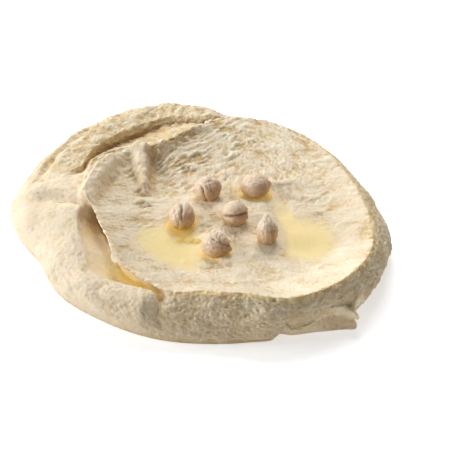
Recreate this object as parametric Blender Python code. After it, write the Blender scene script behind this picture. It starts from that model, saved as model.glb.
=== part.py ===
"""Hummus spread in one turn of a spoon, with six chickpeas and three pools of oil.

The hummus is one solid: spokes run out from the middle of the dish, over its rim, across the
groove that the spoon left, over the outer ridge and down the wall to a flat base. The chickpeas
are pressed into it and the oil lies in its hollows, each with a small gap to its neighbours.
Lengths are in millimetres until a mesh is made. +X is to the right, +Y to the rear, +Z up, and the
origin is the middle of the base.
"""

import math

import bmesh
import bpy
import numpy as np
from mathutils import Euler, Vector
from mathutils.bvhtree import BVHTree

MM = 0.001
GAP = 0.3                   # between two pieces that meet

# Fineness
SPOKES = 104
DISH_RINGS = 11
OUTER_RINGS = 17
PEA_SEGMENTS = 16
PEA_RINGS = 12
POOL_SPOKES = 26
POOL_RINGS = 4

# The spread, by angle about the middle of the dish: degrees anticlockwise from +X
BASE = (                    # angle, radius where the wall meets the ground
    (2, 59.0), (30, 56.8), (57, 57.4), (74, 59.0), (86, 63.6), (97, 69.6), (112, 76.5),
    (126, 79.6), (149, 79.0), (162, 80.6), (170, 80.2), (178, 77.0), (186, 72.6), (195, 68.2),
    (209, 65.2),
    (228, 61.2), (248, 58.3), (266, 56.8), (278, 57.2), (285, 58.6), (290, 56.2), (302, 58.0),
    (316, 61.0), (332, 62.3), (348, 61.0))
RIM = (                     # angle, radius and height of the dish's rim
    (6, 49.0, 15.2), (22, 48.4, 15.6), (38, 49.8, 15.8), (56, 52.0, 16.2), (74, 54.4, 16.6),
    (88, 54.8, 16.2), (96, 53.0, 16.0), (103, 49.0, 15.8), (112, 45.2, 15.5), (122, 43.0, 15.2),
    (128, 43.6, 15.0), (135, 50.6, 15.0), (144, 55.4, 15.0), (151, 57.4, 14.6), (158, 55.4, 14.2),
    (170, 52.2, 14.2), (181, 47.0, 13.9), (188, 43.8, 13.6), (198, 43.3, 13.6), (210, 45.5, 13.6),
    (221, 47.2, 13.6), (238, 47.6, 14.0), (249, 49.8, 14.6), (262, 48.7, 15.4), (276, 50.0, 16.0),
    (284, 53.8, 16.5), (293, 57.0, 16.4), (310, 57.8, 15.8), (329, 56.8, 15.2), (350, 51.8, 15.0))
GROOVE_EDGE = (             # angle, radius and height of the groove's outer edge
    (99, 57.5, 15.6), (105, 60.2, 14.6), (113, 63.0, 14.2), (128, 62.8, 14.0), (141, 62.8, 13.8),
    (151, 61.0, 13.4), (158, 59.0, 13.2), (176, 51.6, 13.2), (186, 53.3, 13.2), (198, 53.5, 13.0),
    (209, 55.0, 12.8), (217, 57.0, 12.6), (229, 54.6, 12.8), (240, 52.6, 13.4), (248, 52.4, 13.8))
GROOVE_FLOOR = (            # angle, height of the floor, where it is lowest from 0, inner, to 1
    (99, 13.0, 0.90), (110, 11.4, 0.92), (125, 9.8, 0.94), (141, 9.4, 0.94), (152, 10.6, 0.92),
    (174, 9.4, 0.12), (186, 6.0, 0.06), (205, 5.4, 0.05), (222, 5.6, 0.06), (236, 6.2, 0.10),
    (246, 7.6, 0.16))
GROOVE_ENDS = ((97, 107, 150, 160), (168, 181, 242, 251))   # angles: opens, open, still open, shut
RIDGE = (                   # angle, outer crest's distance from the groove's edge, its height
    (100, 5.0, 15.0), (125, 6.5, 15.0), (145, 6.0, 14.2), (160, 4.0, 13.2), (190, 3.0, 13.6),
    (225, 2.4, 13.2), (250, 2.0, 14.0))
GROOVE_SHARE = 0.55         # share of the outer rings that the groove takes
WALL_FULLNESS = 0.62        # power of the wall's outline: under 1 is fuller than an ellipse
BELLY = (                   # angle, how far the wall swells past that outline
    (10, 0.8), (90, 0.6), (150, 0.4), (200, 0.8), (240, 1.2), (270, 1.6), (290, 3.2), (320, 2.6),
    (345, 1.4))
TUCK = 1.6                  # the wall draws in this much under its belly
LIP_UNDERCUT = 1.3          # the groove runs this far in under the lip on the left

# The inside of the dish
FLOOR = 8.6                 # height at the foot of the slopes
DISH_SLOPE = (              # angle, share of the rim's radius where it starts, its power
    (0, 0.72, 1.5), (60, 0.45, 1.4), (95, 0.34, 1.4), (118, 0.34, 1.6), (136, 0.30, 3.2),
    (162, 0.30, 3.4), (180, 0.46, 2.0), (210, 0.58, 1.8), (245, 0.56, 1.7), (290, 0.62, 1.6),
    (330, 0.70, 1.5))
MOUND = (1.0, 1.0, 17.0, 1.4)   # x and y from the dish's middle, spread, height
TONGUE = ((-33.0, 37.5), (-31.8, 30.0), (-30.2, 22.0), (-28.4, 13.5))
TONGUE_WIDTH = (3.4, 3.0, 2.3, 1.2)
TONGUE_HEIGHT = (1.6, 3.6, 3.0, 1.0)
LUMPS = (                   # x, y, spread, height
    (-29.5, 9.0, 1.9, 1.3), (0.5, 23.0, 2.0, 1.2), (5.5, 22.0, 1.6, 1.0), (17.5, 22.5, 2.4, 1.2),
    (-1.0, -24.5, 1.9, 1.3), (9.5, -22.0, 2.2, 1.1), (32.0, -30.0, 1.4, 0.8), (-16.0, 14.5, 2.0, 0.6))

# The fold at the foot of the wall
FLAP_ANGLES = (287, 309, 318)   # starts, stands out most, ends
FLAP_REACH = 5.6
FLAP_TOP = 8.2
FLAP_HOLLOW = 0.55          # share of the reach lost in the hollow under the flap's lip
FLAP_START = 0.45           # share of the wall above it

# Oil: outline about a middle as angle and radius, then the depth at the middle and the level
POOLS = {
    "oil_left": dict(middle=(-18.5, -17.5), level=8.3, depth=1.3, outline=(
        (0, 11.4), (38, 13.0), (66, 14.6), (112, 16.5), (142, 18.6), (168, 14.5), (205, 9.4),
        (250, 9.0), (290, 12.4), (318, 15.0), (340, 13.0))),
    "oil_right": dict(middle=(27.5, -13.5), level=8.5, depth=1.3, outline=(
        (0, 16.0), (30, 18.0), (50, 17.6), (72, 18.2), (96, 25.0), (112, 31.0), (122, 27.0),
        (140, 16.5), (180, 9.8), (215, 10.4), (250, 12.0), (285, 11.8), (325, 13.0))),
}
POOL_EDGE_DEPTH = 0.80      # depth of the hollow at a pool's outline
POOL_MARGIN = 2.2           # the hollow stays that deep this far past the oil
POOL_SHORE = 4.0            # then its bank slopes up over this distance
TROUGH_ANGLES = (211, 241)  # where the oil in the groove starts and ends
TROUGH_LEVEL = 8.9
TROUGH_STEPS = 16
TROUGH_STEP = 0.4           # the oil widens by this until it meets the far bank
TROUGH_CLEARANCE = 1.0      # from the lip
LEAST_OIL = 0.25            # thickness at an edge

# Chickpeas: place from the dish's middle, size along its own axes, turn, cleft and beak
CHICKPEAS = {
    "chickpea_rear_left": dict(at=(-6.3, 11.7), size=(10.6, 9.8, 9.6), turn=(20, -15, 40),
                               cleft=0.20, beak=0.10),
    "chickpea_rear_right": dict(at=(11.5, 14.9), size=(11.4, 10.4, 9.4), turn=(10, 12, 205),
                                cleft=0.04, beak=0.16),
    "chickpea_left": dict(at=(-15.4, -3.3), size=(10.8, 10.2, 10.4), turn=(-10, 60, 95),
                          cleft=0.17, beak=0.12),
    "chickpea_middle": dict(at=(3.2, -4.1), size=(10.4, 9.8, 9.8), turn=(70, 10, 0),
                            cleft=0.22, beak=0.22),
    "chickpea_front": dict(at=(-3.1, -19.3), size=(10.8, 9.4, 9.2), turn=(-25, 10, 170),
                           cleft=0.10, beak=0.06),
    "chickpea_right": dict(at=(14.7, -13.8), size=(11.6, 9.6, 9.8), turn=(20, -62, 60),
                           cleft=0.12, beak=0.30),
}
PEA_SINK = 1.5              # depth pressed into the hummus
CLEFT_WIDTH = 0.20          # in radii
BEAK_WIDTH = 0.42

COLOURS = {                 # linear red, green and blue, then roughness
    "hummus": ((0.80, 0.68, 0.47), 0.55),
    "oil": ((0.80, 0.50, 0.10), 0.10),
    "chickpea": ((0.56, 0.39, 0.26), 0.50),
}


def smooth_step(low, high, value):
    """0 below low, 1 above high, and an even curve between."""
    share = np.clip((value - low) / (high - low), 0.0, 1.0)
    return share * share * (3.0 - 2.0 * share)


def around(keys, angle, column=1):
    """The keyed value at each angle, in degrees, on a smooth closed curve with no overshoot."""
    rows = np.array(keys, float)
    at = np.concatenate([rows[:, 0] - 360.0, rows[:, 0], rows[:, 0] + 360.0])
    value = np.tile(rows[:, column], 3)
    secant = np.diff(value) / np.diff(at)
    slope = np.zeros_like(value)
    same_way = secant[:-1] * secant[1:] > 0
    slope[1:-1][same_way] = (2.0 * secant[:-1] * secant[1:]
                             / np.where(same_way, secant[:-1] + secant[1:], 1.0))[same_way]
    angle = np.mod(angle, 360.0)
    i = np.clip(np.searchsorted(at, angle, side="right") - 1, 0, len(at) - 2)
    step = at[i + 1] - at[i]
    t = (angle - at[i]) / step
    return ((1 + 2 * t) * (1 - t) ** 2 * value[i] + t * (1 - t) ** 2 * step * slope[i]
            + t * t * (3 - 2 * t) * value[i + 1] - t * t * (1 - t) * step * slope[i + 1])


def hollow_of_pools(x, y, height):
    """The height with each pool's hollow pressed into it; x and y are from the dish's middle."""
    for pool in POOLS.values():
        dx = x - pool["middle"][0]
        dy = y - pool["middle"][1]
        far = np.hypot(dx, dy)
        shore = around(pool["outline"], np.degrees(np.arctan2(dy, dx)))
        inside = np.clip(1.0 - far / shore, 0.0, 1.0)
        deep = POOL_EDGE_DEPTH + (pool["depth"] - POOL_EDGE_DEPTH) * smooth_step(0.0, 0.7, inside)
        floor = pool["level"] - deep
        bank = smooth_step(POOL_MARGIN, POOL_MARGIN + POOL_SHORE, far - shore)
        height = np.where(height > floor, floor + (height - floor) * bank, height)
    return height


def raised_stroke(x, y, points, widths, heights):
    """The height that a tapering stroke adds: round on its left side, steep on its right."""
    added = np.zeros_like(x)
    for i in range(len(points) - 1):
        start = np.array(points[i])
        along = np.array(points[i + 1]) - start
        length = np.hypot(*along)
        along /= length
        run = (x - start[0]) * along[0] + (y - start[1]) * along[1]
        share = np.clip(run / length, 0.0, 1.0)
        side = (x - start[0]) * along[1] - (y - start[1]) * along[0]
        past = run - share * length
        width = widths[i] + (widths[i + 1] - widths[i]) * share
        width = np.where(side < 0, 0.55 * width, width)
        top = heights[i] + (heights[i + 1] - heights[i]) * share
        added = np.maximum(added, top * np.exp(-((np.hypot(side, past) / width) ** 2) * 1.6))
    return added


def dish_height(share, x, y, angle):
    """Height of the dish's inside at a share of the way to the rim."""
    rim = around(RIM, angle, 2)
    foot = around(DISH_SLOPE, angle)
    climb = np.clip((share - foot) / (1.0 - foot), 0.0, 1.0) ** around(DISH_SLOPE, angle, 2)
    height = FLOOR + (rim - FLOOR) * climb
    height += MOUND[3] * np.exp(-((x - MOUND[0]) ** 2 + (y - MOUND[1]) ** 2) / MOUND[2] ** 2)
    height = hollow_of_pools(x, y, height)
    height += raised_stroke(x, y, TONGUE, TONGUE_WIDTH, TONGUE_HEIGHT) * (1.0 - climb ** 3)
    for lump_x, lump_y, spread, top in LUMPS:
        height += top * np.exp(-((x - lump_x) ** 2 + (y - lump_y) ** 2) / spread ** 2)
    return height


def wall(start_radius, start_height, angle, share):
    """Radius and height on the wall, from its crest at share 0 to the ground at share 1."""
    turn = share * math.pi / 2.0
    foot = around(BASE, angle)
    radius = start_radius + (foot - start_radius) * np.sin(turn)
    radius += around(BELLY, angle) * np.sin(2.0 * turn)
    radius -= TUCK * smooth_step(0.80, 1.0, share)
    height = start_height * np.maximum(np.cos(turn), 0.0) ** WALL_FULLNESS
    return radius, height


def along_stations(stations, at):
    """Points on a smooth curve through stations of (radius, height, roundness), per spoke."""
    i = min(int(at), len(stations) - 2)
    t = at - i

    def tangent(k):
        before = stations[max(k - 1, 0)]
        after = stations[min(k + 1, len(stations) - 1)]
        return [0.5 * stations[k][2] * (after[c] - before[c]) for c in (0, 1)]

    first, second = tangent(i), tangent(i + 1)
    return [(1 + 2 * t) * (1 - t) ** 2 * stations[i][c] + t * (1 - t) ** 2 * first[c]
            + t * t * (3 - 2 * t) * stations[i + 1][c] - t * t * (1 - t) * second[c]
            for c in (0, 1)]


def groove_openness(angle):
    """1 where the groove is open and 0 where the rim runs straight into the wall."""
    openness = np.zeros_like(angle)
    for opens, is_open, still_open, shut in GROOVE_ENDS:
        openness = np.maximum(openness, smooth_step(opens, is_open, angle)
                              * (1.0 - smooth_step(still_open, shut, angle)))
    return openness


def outer_profile(angle, share):
    """Radius and height outside the rim: share 0 is the rim and share 1 is the ground."""
    rim_radius = around(RIM, angle, 1)
    rim_height = around(RIM, angle, 2)
    edge_radius = around(GROOVE_EDGE, angle, 1)
    edge_height = around(GROOVE_EDGE, angle, 2)
    floor_height = around(GROOVE_FLOOR, angle, 1)
    lowest = around(GROOVE_FLOOR, angle, 2)
    crest_radius = edge_radius + around(RIDGE, angle, 1)
    crest_height = around(RIDGE, angle, 2)
    width = edge_radius - rim_radius
    undercut = LIP_UNDERCUT * (1.0 - smooth_step(0.2, 0.6, lowest))
    stations = [
        (rim_radius, rim_height, 0.25),
        (rim_radius - undercut * 0.6 + lowest * width * 0.35,
         rim_height + (floor_height - rim_height) * (0.55 - 0.25 * lowest), 0.7),
        (rim_radius - undercut + lowest * width, floor_height, 0.35),
        (rim_radius + width * (0.45 + 0.5 * smooth_step(0.3, 0.9, lowest)),
         floor_height + (edge_height - floor_height) * (0.30 + 0.25 * lowest), 0.9),
        (edge_radius, edge_height, 0.6),
        (crest_radius, crest_height, 1.0),
    ]
    if share < GROOVE_SHARE:
        grooved = along_stations(stations, share / GROOVE_SHARE * (len(stations) - 1))
    else:
        grooved = wall(crest_radius, crest_height, angle,
                       (share - GROOVE_SHARE) / (1.0 - GROOVE_SHARE))
    plain = wall_with_flap(rim_radius, rim_height, angle, share)
    openness = groove_openness(angle)
    return [plain[c] + (grooved[c] - plain[c]) * openness for c in (0, 1)]


def wall_with_flap(start_radius, start_height, angle, share):
    """The wall, with the fold that stands out at its foot at the front right."""
    plain = wall(start_radius, start_height, angle, share)
    starts, most, ends = FLAP_ANGLES
    length = smooth_step(starts, most, angle) * (1.0 - smooth_step(most + 4, ends, angle))
    top = FLAP_TOP * (0.35 + 0.65 * length)
    above = np.arccos(((top + 0.8) / start_height) ** (1.0 / WALL_FULLNESS)) * 2.0 / math.pi
    if share < FLAP_START:
        folded = wall(start_radius, start_height, angle, share / FLAP_START * above)
    else:
        radius, height = wall(start_radius, start_height, angle, above)
        foot = around(BASE, angle)
        stations = [
            (radius, height, 0.4),
            (foot + FLAP_REACH, top, 0.3),
            (foot + FLAP_REACH * (1.0 - FLAP_HOLLOW), 0.45 * top, 1.0),
            (foot + FLAP_REACH, np.zeros_like(angle), 0.6),
        ]
        folded = along_stations(stations, (share - FLAP_START) / (1.0 - FLAP_START)
                                * (len(stations) - 1))
    return [plain[c] + (folded[c] - plain[c]) * length for c in (0, 1)]


def spread_points():
    """Rings of points from the dish's middle to the ground, in millimetres."""
    angle = np.arange(SPOKES) * 360.0 / SPOKES
    across = np.cos(np.radians(angle))
    up = np.sin(np.radians(angle))
    rings = []
    for k in range(1, DISH_RINGS + 1):
        share = k / DISH_RINGS
        radius = around(RIM, angle) * share
        x, y = radius * across, radius * up
        rings.append((x, y, dish_height(share, x, y, angle)))
    for k in range(1, OUTER_RINGS + 1):
        radius, height = outer_profile(angle, k / OUTER_RINGS)
        rings.append((radius * across, radius * up, height))
    return [np.stack(ring, axis=1) for ring in rings]


def material(kind):
    """The plain finish of one kind of piece."""
    colour, roughness = COLOURS[kind]
    made = bpy.data.materials.new(kind)
    made.use_nodes = True
    shader = made.node_tree.nodes["Principled BSDF"]
    shader.inputs["Base Color"].default_value = (*colour, 1.0)
    shader.inputs["Roughness"].default_value = roughness
    shader.inputs["Metallic"].default_value = 0.0
    return made


def object_from(name, build, kind):
    """A new object from the bmesh that is given, with faces turned outwards."""
    bmesh.ops.recalc_face_normals(build, faces=build.faces)
    mesh = bpy.data.meshes.new(name)
    build.to_mesh(mesh)
    build.free()
    mesh.shade_smooth()
    mesh.materials.append(kind)
    made = bpy.data.objects.new(name, mesh)
    bpy.context.scene.collection.objects.link(made)
    return made


def bridge(build, inner, outer):
    """Triangles between two closed rings of the same length, split along the shorter diagonal."""
    count = len(inner)
    for i in range(count):
        a, b = inner[i], inner[(i + 1) % count]
        c, d = outer[(i + 1) % count], outer[i]
        if (a.co - c.co).length < (b.co - d.co).length:
            build.faces.new((a, d, c))
            build.faces.new((a, c, b))
        else:
            build.faces.new((a, d, b))
            build.faces.new((b, d, c))


def closed_by_point(build, ring, point):
    """A fan from a ring to one point."""
    tip = build.verts.new(point)
    for i, vert in enumerate(ring):
        build.faces.new((vert, ring[(i + 1) % len(ring)], tip))


def make_spread(centre, finish):
    """The hummus, before the chickpeas are pressed in."""
    build = bmesh.new()
    rings = []
    for points in spread_points():
        rings.append([build.verts.new(Vector((p[0] + centre[0], p[1] + centre[1], p[2])) * MM)
                      for p in points])
    middle = dish_height(0.0, np.zeros(1), np.zeros(1), np.zeros(1))[0]
    closed_by_point(build, rings[0], Vector((centre[0], centre[1], middle)) * MM)
    for inner, outer in zip(rings, rings[1:]):
        bridge(build, inner, outer)
    build.faces.new(rings[-1])
    return object_from("hummus", build, finish)


def pea_points(pea, swell=0.0):
    """A chickpea's rings from pole to pole about its own middle, swollen by a margin."""
    turn = Euler([math.radians(a) for a in pea["turn"]]).to_matrix()
    half = np.array(pea["size"]) / 2.0
    rings = []
    for k in range(PEA_RINGS + 1):
        tilt = math.pi * k / PEA_RINGS
        ring = []
        for s in range(PEA_SEGMENTS if 0 < k < PEA_RINGS else 1):
            turned = 2.0 * math.pi * s / PEA_SEGMENTS
            way = np.array((math.cos(tilt), math.sin(tilt) * math.cos(turned),
                            math.sin(tilt) * math.sin(turned)))
            beak = pea["beak"] * math.exp(-((math.acos(way[0]) / BEAK_WIDTH) ** 2))
            upper = smooth_step(-0.5, 0.4, way[2])
            cleft = pea["cleft"] * math.exp(-((way[1] / CLEFT_WIDTH) ** 2)) * upper
            place = way * half * (1.0 + beak - cleft) + way * swell
            ring.append(turn @ Vector(place))
        rings.append(ring)
    return rings


def make_pea(name, pea, place, finish, swell=0.0):
    """One chickpea, or the cutter for its socket where it is swollen."""
    build = bmesh.new()
    rings = [[build.verts.new((point + place) * MM) for point in ring]
             for ring in pea_points(pea, swell)]
    first, last = rings[0][0], rings[-1][0]
    for ring, tip in ((rings[1], first), (rings[-2], last)):
        for i, vert in enumerate(ring):
            build.faces.new((vert, ring[(i + 1) % len(ring)], tip))
    for inner, outer in zip(rings[1:-1], rings[2:-1]):
        bridge(build, inner, outer)
    return object_from(name, build, finish)


def pea_place(pea, centre, surface):
    """Where a chickpea's middle lies, so that its lowest point is sunk in the hummus."""
    x, y = pea["at"][0] + centre[0], pea["at"][1] + centre[1]
    lowest = min(point.z for ring in pea_points(pea) for point in ring)
    return Vector((x, y, height_at(surface, x, y) - PEA_SINK - lowest))


def height_at(surface, x, y):
    """Height of the faceted hummus under a point, in millimetres."""
    hit = surface.ray_cast(Vector((x, y, 100.0)) * MM, Vector((0.0, 0.0, -1.0)))
    return hit[0].z / MM


def cut(target, cutter):
    """Takes a cutter's shape out of an object."""
    cutter.hide_render = True
    cutter.display_type = "WIRE"
    modifier = target.modifiers.new("cut_" + cutter.name, "BOOLEAN")
    modifier.operation = "DIFFERENCE"
    modifier.solver = "EXACT"
    modifier.object = cutter


def oil_body(name, tops, surface, level, finish):
    """A pool from rings of (x, y), inner first: flat on top, and just clear of the hummus below."""
    build = bmesh.new()
    upper, lower = [], []
    for ring in tops:
        upper.append([build.verts.new(Vector((x, y, level)) * MM) for x, y in ring])
        lower.append([build.verts.new(Vector((x, y, min(height_at(surface, x, y) + GAP + 0.05,
                                                        level - LEAST_OIL))) * MM)
                      for x, y in ring])
    for inner, outer in zip(upper, upper[1:]):
        bridge(build, inner, outer)
    for inner, outer in zip(lower, lower[1:]):
        bridge(build, outer, inner)
    bridge(build, upper[-1], lower[-1])
    build.faces.new(upper[0])
    closed_by_point(build, lower[0], sum((v.co for v in lower[0]), Vector()) / len(lower[0]))
    return object_from(name, build, finish)


def make_pool(name, centre, surface, finish):
    """A pool of oil in a hollow of the dish."""
    pool = POOLS[name]
    angle = np.arange(POOL_SPOKES) * 360.0 / POOL_SPOKES
    shore = around(pool["outline"], angle)
    rings = []
    for k in range(1, POOL_RINGS + 1):
        radius = shore * k / POOL_RINGS
        rings.append(list(zip(centre[0] + pool["middle"][0] + radius * np.cos(np.radians(angle)),
                              centre[1] + pool["middle"][1] + radius * np.sin(np.radians(angle)))))
    return oil_body(name, rings, surface, pool["level"], finish)


def make_trough_oil(centre, surface, finish):
    """The oil that has run into the groove on the left, as flat-bottomed sections along it."""
    build = bmesh.new()
    sections = []
    for angle in np.linspace(*TROUGH_ANGLES, TROUGH_STEPS):
        way = np.array((math.cos(math.radians(angle)), math.sin(math.radians(angle))))
        near = float(around(RIM, angle)) + TROUGH_CLEARANCE
        reach = [near]
        while height_at(surface, *(way * (reach[-1] + TROUGH_STEP) + centre)) < TROUGH_LEVEL - 3 * GAP:
            reach.append(reach[-1] + TROUGH_STEP)
        bottom = max(height_at(surface, *(way * radius + centre)) for radius in reach) + 2 * GAP
        corners = [(near, TROUGH_LEVEL), (reach[-1], TROUGH_LEVEL), (reach[-1], bottom), (near, bottom)]
        sections.append([build.verts.new(Vector((*(way * radius + centre), height)) * MM)
                         for radius, height in corners])
    for before, after in zip(sections, sections[1:]):
        bridge(build, before, after)
    build.faces.new(sections[0])
    build.faces.new(sections[-1])
    return object_from("oil_trough", build, finish)


def dish_centre():
    """Place of the dish's middle that puts the origin at the middle of the whole spread's box."""
    points = np.concatenate(spread_points())
    return -(points[:, :2].min(axis=0) + points[:, :2].max(axis=0)) / 2.0


def main():
    for old in list(bpy.data.objects):
        bpy.data.objects.remove(old, do_unlink=True)
    finishes = {kind: material(kind) for kind in COLOURS}
    centre = dish_centre()
    hummus = make_spread(centre, finishes["hummus"])
    surface = BVHTree.FromPolygons([v.co.copy() for v in hummus.data.vertices],
                                   [tuple(p.vertices) for p in hummus.data.polygons])
    pools = [make_pool(name, centre, surface, finishes["oil"]) for name in POOLS]
    for name, pea in CHICKPEAS.items():
        place = pea_place(pea, centre, surface)
        make_pea(name, pea, place, finishes["chickpea"])
        socket = make_pea(name + "_socket", pea, place, finishes["chickpea"], swell=GAP + 0.05)
        cut(hummus, socket)
        for pool in pools:
            cut(pool, socket)
    make_trough_oil(centre, surface, finishes["oil"])


main()
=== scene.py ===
"""The looks of a spread of hummus with chickpeas and oil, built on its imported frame.

The spread is made in millimetres about the middle of its dish, as spokes that run from there over
the rim, across the groove and down the wall, and is then set in the frame's box.
"""

import math
import bpy
import numpy as np
from bpy.props import FloatProperty, FloatVectorProperty, IntProperty, PointerProperty
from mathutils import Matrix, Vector


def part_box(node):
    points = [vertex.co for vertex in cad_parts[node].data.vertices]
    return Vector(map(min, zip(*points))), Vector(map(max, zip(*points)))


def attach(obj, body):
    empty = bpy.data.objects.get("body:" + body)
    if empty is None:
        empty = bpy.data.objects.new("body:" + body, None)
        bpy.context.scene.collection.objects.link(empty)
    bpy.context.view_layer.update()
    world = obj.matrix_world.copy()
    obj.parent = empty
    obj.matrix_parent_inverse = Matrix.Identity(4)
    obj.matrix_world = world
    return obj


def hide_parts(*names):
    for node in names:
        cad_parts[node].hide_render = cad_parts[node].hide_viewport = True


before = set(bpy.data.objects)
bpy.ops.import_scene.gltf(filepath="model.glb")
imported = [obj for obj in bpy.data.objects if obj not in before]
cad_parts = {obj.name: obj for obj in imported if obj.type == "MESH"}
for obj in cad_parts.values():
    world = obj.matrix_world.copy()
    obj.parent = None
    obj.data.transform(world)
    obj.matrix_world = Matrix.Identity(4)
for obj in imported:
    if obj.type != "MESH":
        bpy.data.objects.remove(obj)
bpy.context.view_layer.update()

bl_info = {
    "name": "Hummus spread",
    "version": (1, 0, 0),
    "blender": (4, 5, 0),
    "location": "View3D > Sidebar > Hummus",
    "description": "Makes a spoon-turned spread of hummus with chickpeas and oil",
    "category": "Object",
}

MM = 0.001
BODY = "root"
PEAS = sorted(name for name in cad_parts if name.startswith("chickpea"))
SPREAD_LOW, SPREAD_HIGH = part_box("hummus")

DISH_OFF_MIDDLE = (8.975, -6.238)   # from the middle of the spread's box to the dish's middle

# The spread, by angle about the middle of the dish: degrees anticlockwise from +X
BASE = (                    # angle, radius where the wall meets the ground
    (2, 58.0), (30, 55.4), (57, 56.6), (74, 59.0), (86, 64.0), (97, 70.0), (112, 76.8),
    (126, 79.8), (149, 79.8), (162, 82.0), (170, 82.0), (178, 78.8), (186, 73.8), (195, 69.0),
    (209, 67.6), (228, 63.4), (248, 60.8), (266, 58.8), (278, 58.4), (285, 59.0), (290, 56.4),
    (302, 57.4), (311, 59.0), (317, 61.8), (324, 61.2), (333, 60.8), (348, 60.6))
RIM = (                     # angle, radius and height of the dish's rim
    (6, 49.0, 15.2), (22, 48.4, 15.6), (38, 49.8, 15.8), (56, 52.0, 16.2), (74, 54.4, 16.6),
    (88, 54.8, 16.2), (96, 53.0, 16.0), (103, 49.0, 15.8), (112, 45.2, 15.5), (122, 43.0, 15.2),
    (128, 43.6, 15.0), (135, 50.6, 15.0), (144, 55.4, 15.0), (151, 57.4, 14.6), (158, 55.4, 14.2),
    (170, 52.2, 14.2), (181, 47.4, 13.9), (188, 46.0, 13.6), (197, 45.2, 13.6), (205, 44.8, 13.6),
    (213, 46.6, 13.6), (221, 49.2, 13.6), (231, 48.8, 13.8), (249, 50.6, 14.6), (262, 48.7, 15.4),
    (276, 50.0, 16.0), (284, 53.8, 16.5), (293, 57.0, 16.4), (310, 57.8, 15.8), (329, 56.8, 15.2),
    (350, 51.8, 15.0))
GROOVE_EDGE = (             # angle, radius and height of the groove's outer edge
    (99, 57.5, 15.6), (105, 60.2, 14.6), (113, 63.0, 14.2), (128, 62.8, 14.0), (141, 62.8, 13.8),
    (151, 61.0, 13.4), (158, 59.0, 13.2), (176, 51.6, 13.2), (186, 53.3, 13.2), (198, 53.5, 13.0),
    (209, 55.0, 12.8), (217, 57.0, 12.6), (229, 54.4, 12.9), (240, 52.0, 13.6), (248, 51.6, 14.3))
GROOVE_FLOOR = (            # angle, height of the floor, where it is lowest from 0, inner, to 1
    (99, 13.0, 0.90), (110, 11.4, 0.92), (125, 9.8, 0.94), (141, 9.4, 0.94), (152, 10.2, 0.92),
    (174, 9.4, 0.12), (184, 6.8, 0.04), (200, 7.6, 0.02), (212, 7.9, 0.03), (226, 6.6, 0.06),
    (238, 6.8, 0.10), (246, 8.6, 0.14))
# A stretch has four angles: where it starts, is full, is still full, and ends
GROOVE_STRETCHES = ((84, 98, 154, 164), (170, 181, 242, 250))
RIDGE = (                   # angle, outer crest's distance from the groove's edge, its height
    (100, 5.0, 15.0), (125, 6.5, 15.0), (145, 6.0, 14.2), (160, 4.0, 13.2), (190, 3.0, 13.6),
    (225, 2.4, 13.2), (250, 2.0, 14.0))
GROOVE_SHARE = 0.55         # share of the outer rings that the groove takes
WALL_FULLNESS = 0.62        # power of the wall's outline: under 1 is fuller than an ellipse
BELLY = (                   # angle, how far the wall swells past that outline
    (10, 1.0), (90, 0.6), (150, 0.4), (200, 0.8), (240, 1.2), (270, 1.6), (290, 3.0), (320, 1.8),
    (345, 1.5))
CREST_EDGE = (              # angle, how sharply the wall turns down at the rim, from 0 to 1
    (0, 0.58), (60, 0.60), (98, 0.45), (130, 0.10), (200, 0.10), (240, 0.60), (262, 0.85),
    (320, 0.80))
TUCK = 1.6                  # the wall draws in this much under its belly
LIP_UNDERCUT = 3.0          # the groove runs this far in under the lip on the left
FLOOR = 8.6                 # height at the foot of the dish's slopes
DISH_SLOPE = (              # angle, share of the rim's radius where it starts, its power
    (0, 0.72, 1.5), (60, 0.45, 1.4), (95, 0.34, 1.4), (118, 0.34, 1.6), (136, 0.30, 3.2),
    (162, 0.30, 3.4), (180, 0.46, 2.0), (210, 0.58, 1.8), (245, 0.56, 1.7), (290, 0.62, 1.6),
    (330, 0.70, 1.5))
MOUND = (1.0, 1.0, 17.0, 1.4)   # x and y from the dish's middle, spread, height
# Strokes of the spoon: points, widths and heights. Each is steeper on its left side as it runs.
TONGUE = (
    ((-31.6, 35.4), (-31.0, 29.5), (-30.4, 22.4), (-29.8, 17.0), (-29.6, 14.5)),
    (5.2, 5.0, 4.0, 3.0, 2.2), (2.2, 4.2, 4.4, 3.6, 1.8))
ROLL = (
    ((-51.0, -3.0), (-50.4, 5.0), (-48.8, 13.7), (-46.8, 21.4), (-43.4, 28.0), (-39.0, 32.0)),
    (3.0, 4.2, 4.7, 4.8, 4.2, 2.4), (0.6, 2.6, 4.6, 5.0, 3.9, 1.4))
TEAR = (
    ((-38.0, 33.6), (-34.0, 34.8), (-30.0, 33.2), (-26.5, 33.6), (-22.0, 37.0), (-18.5, 41.0),
     (-12.0, 47.0), (-4.0, 50.5)),
    (1.4, 2.2, 2.4, 2.8, 2.8, 2.6, 2.0, 1.2), (0.7, 1.7, 1.8, 2.5, 2.3, 1.9, 1.3, 0.2))
LIP = (
    ((-47.0, 1.0), (-45.6, -4.5), (-43.6, -10.5), (-41.2, -16.5), (-38.4, -22.5), (-37.2, -28.5),
     (-34.4, -33.6), (-28.0, -37.8), (-19.5, -44.6)),
    (1.2, 1.6, 2.0, 1.9, 1.7, 1.8, 2.0, 1.8, 1.2), (0.3, 0.9, 1.3, 1.1, 0.9, 1.1, 1.2, 0.9, 0.3))
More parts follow.
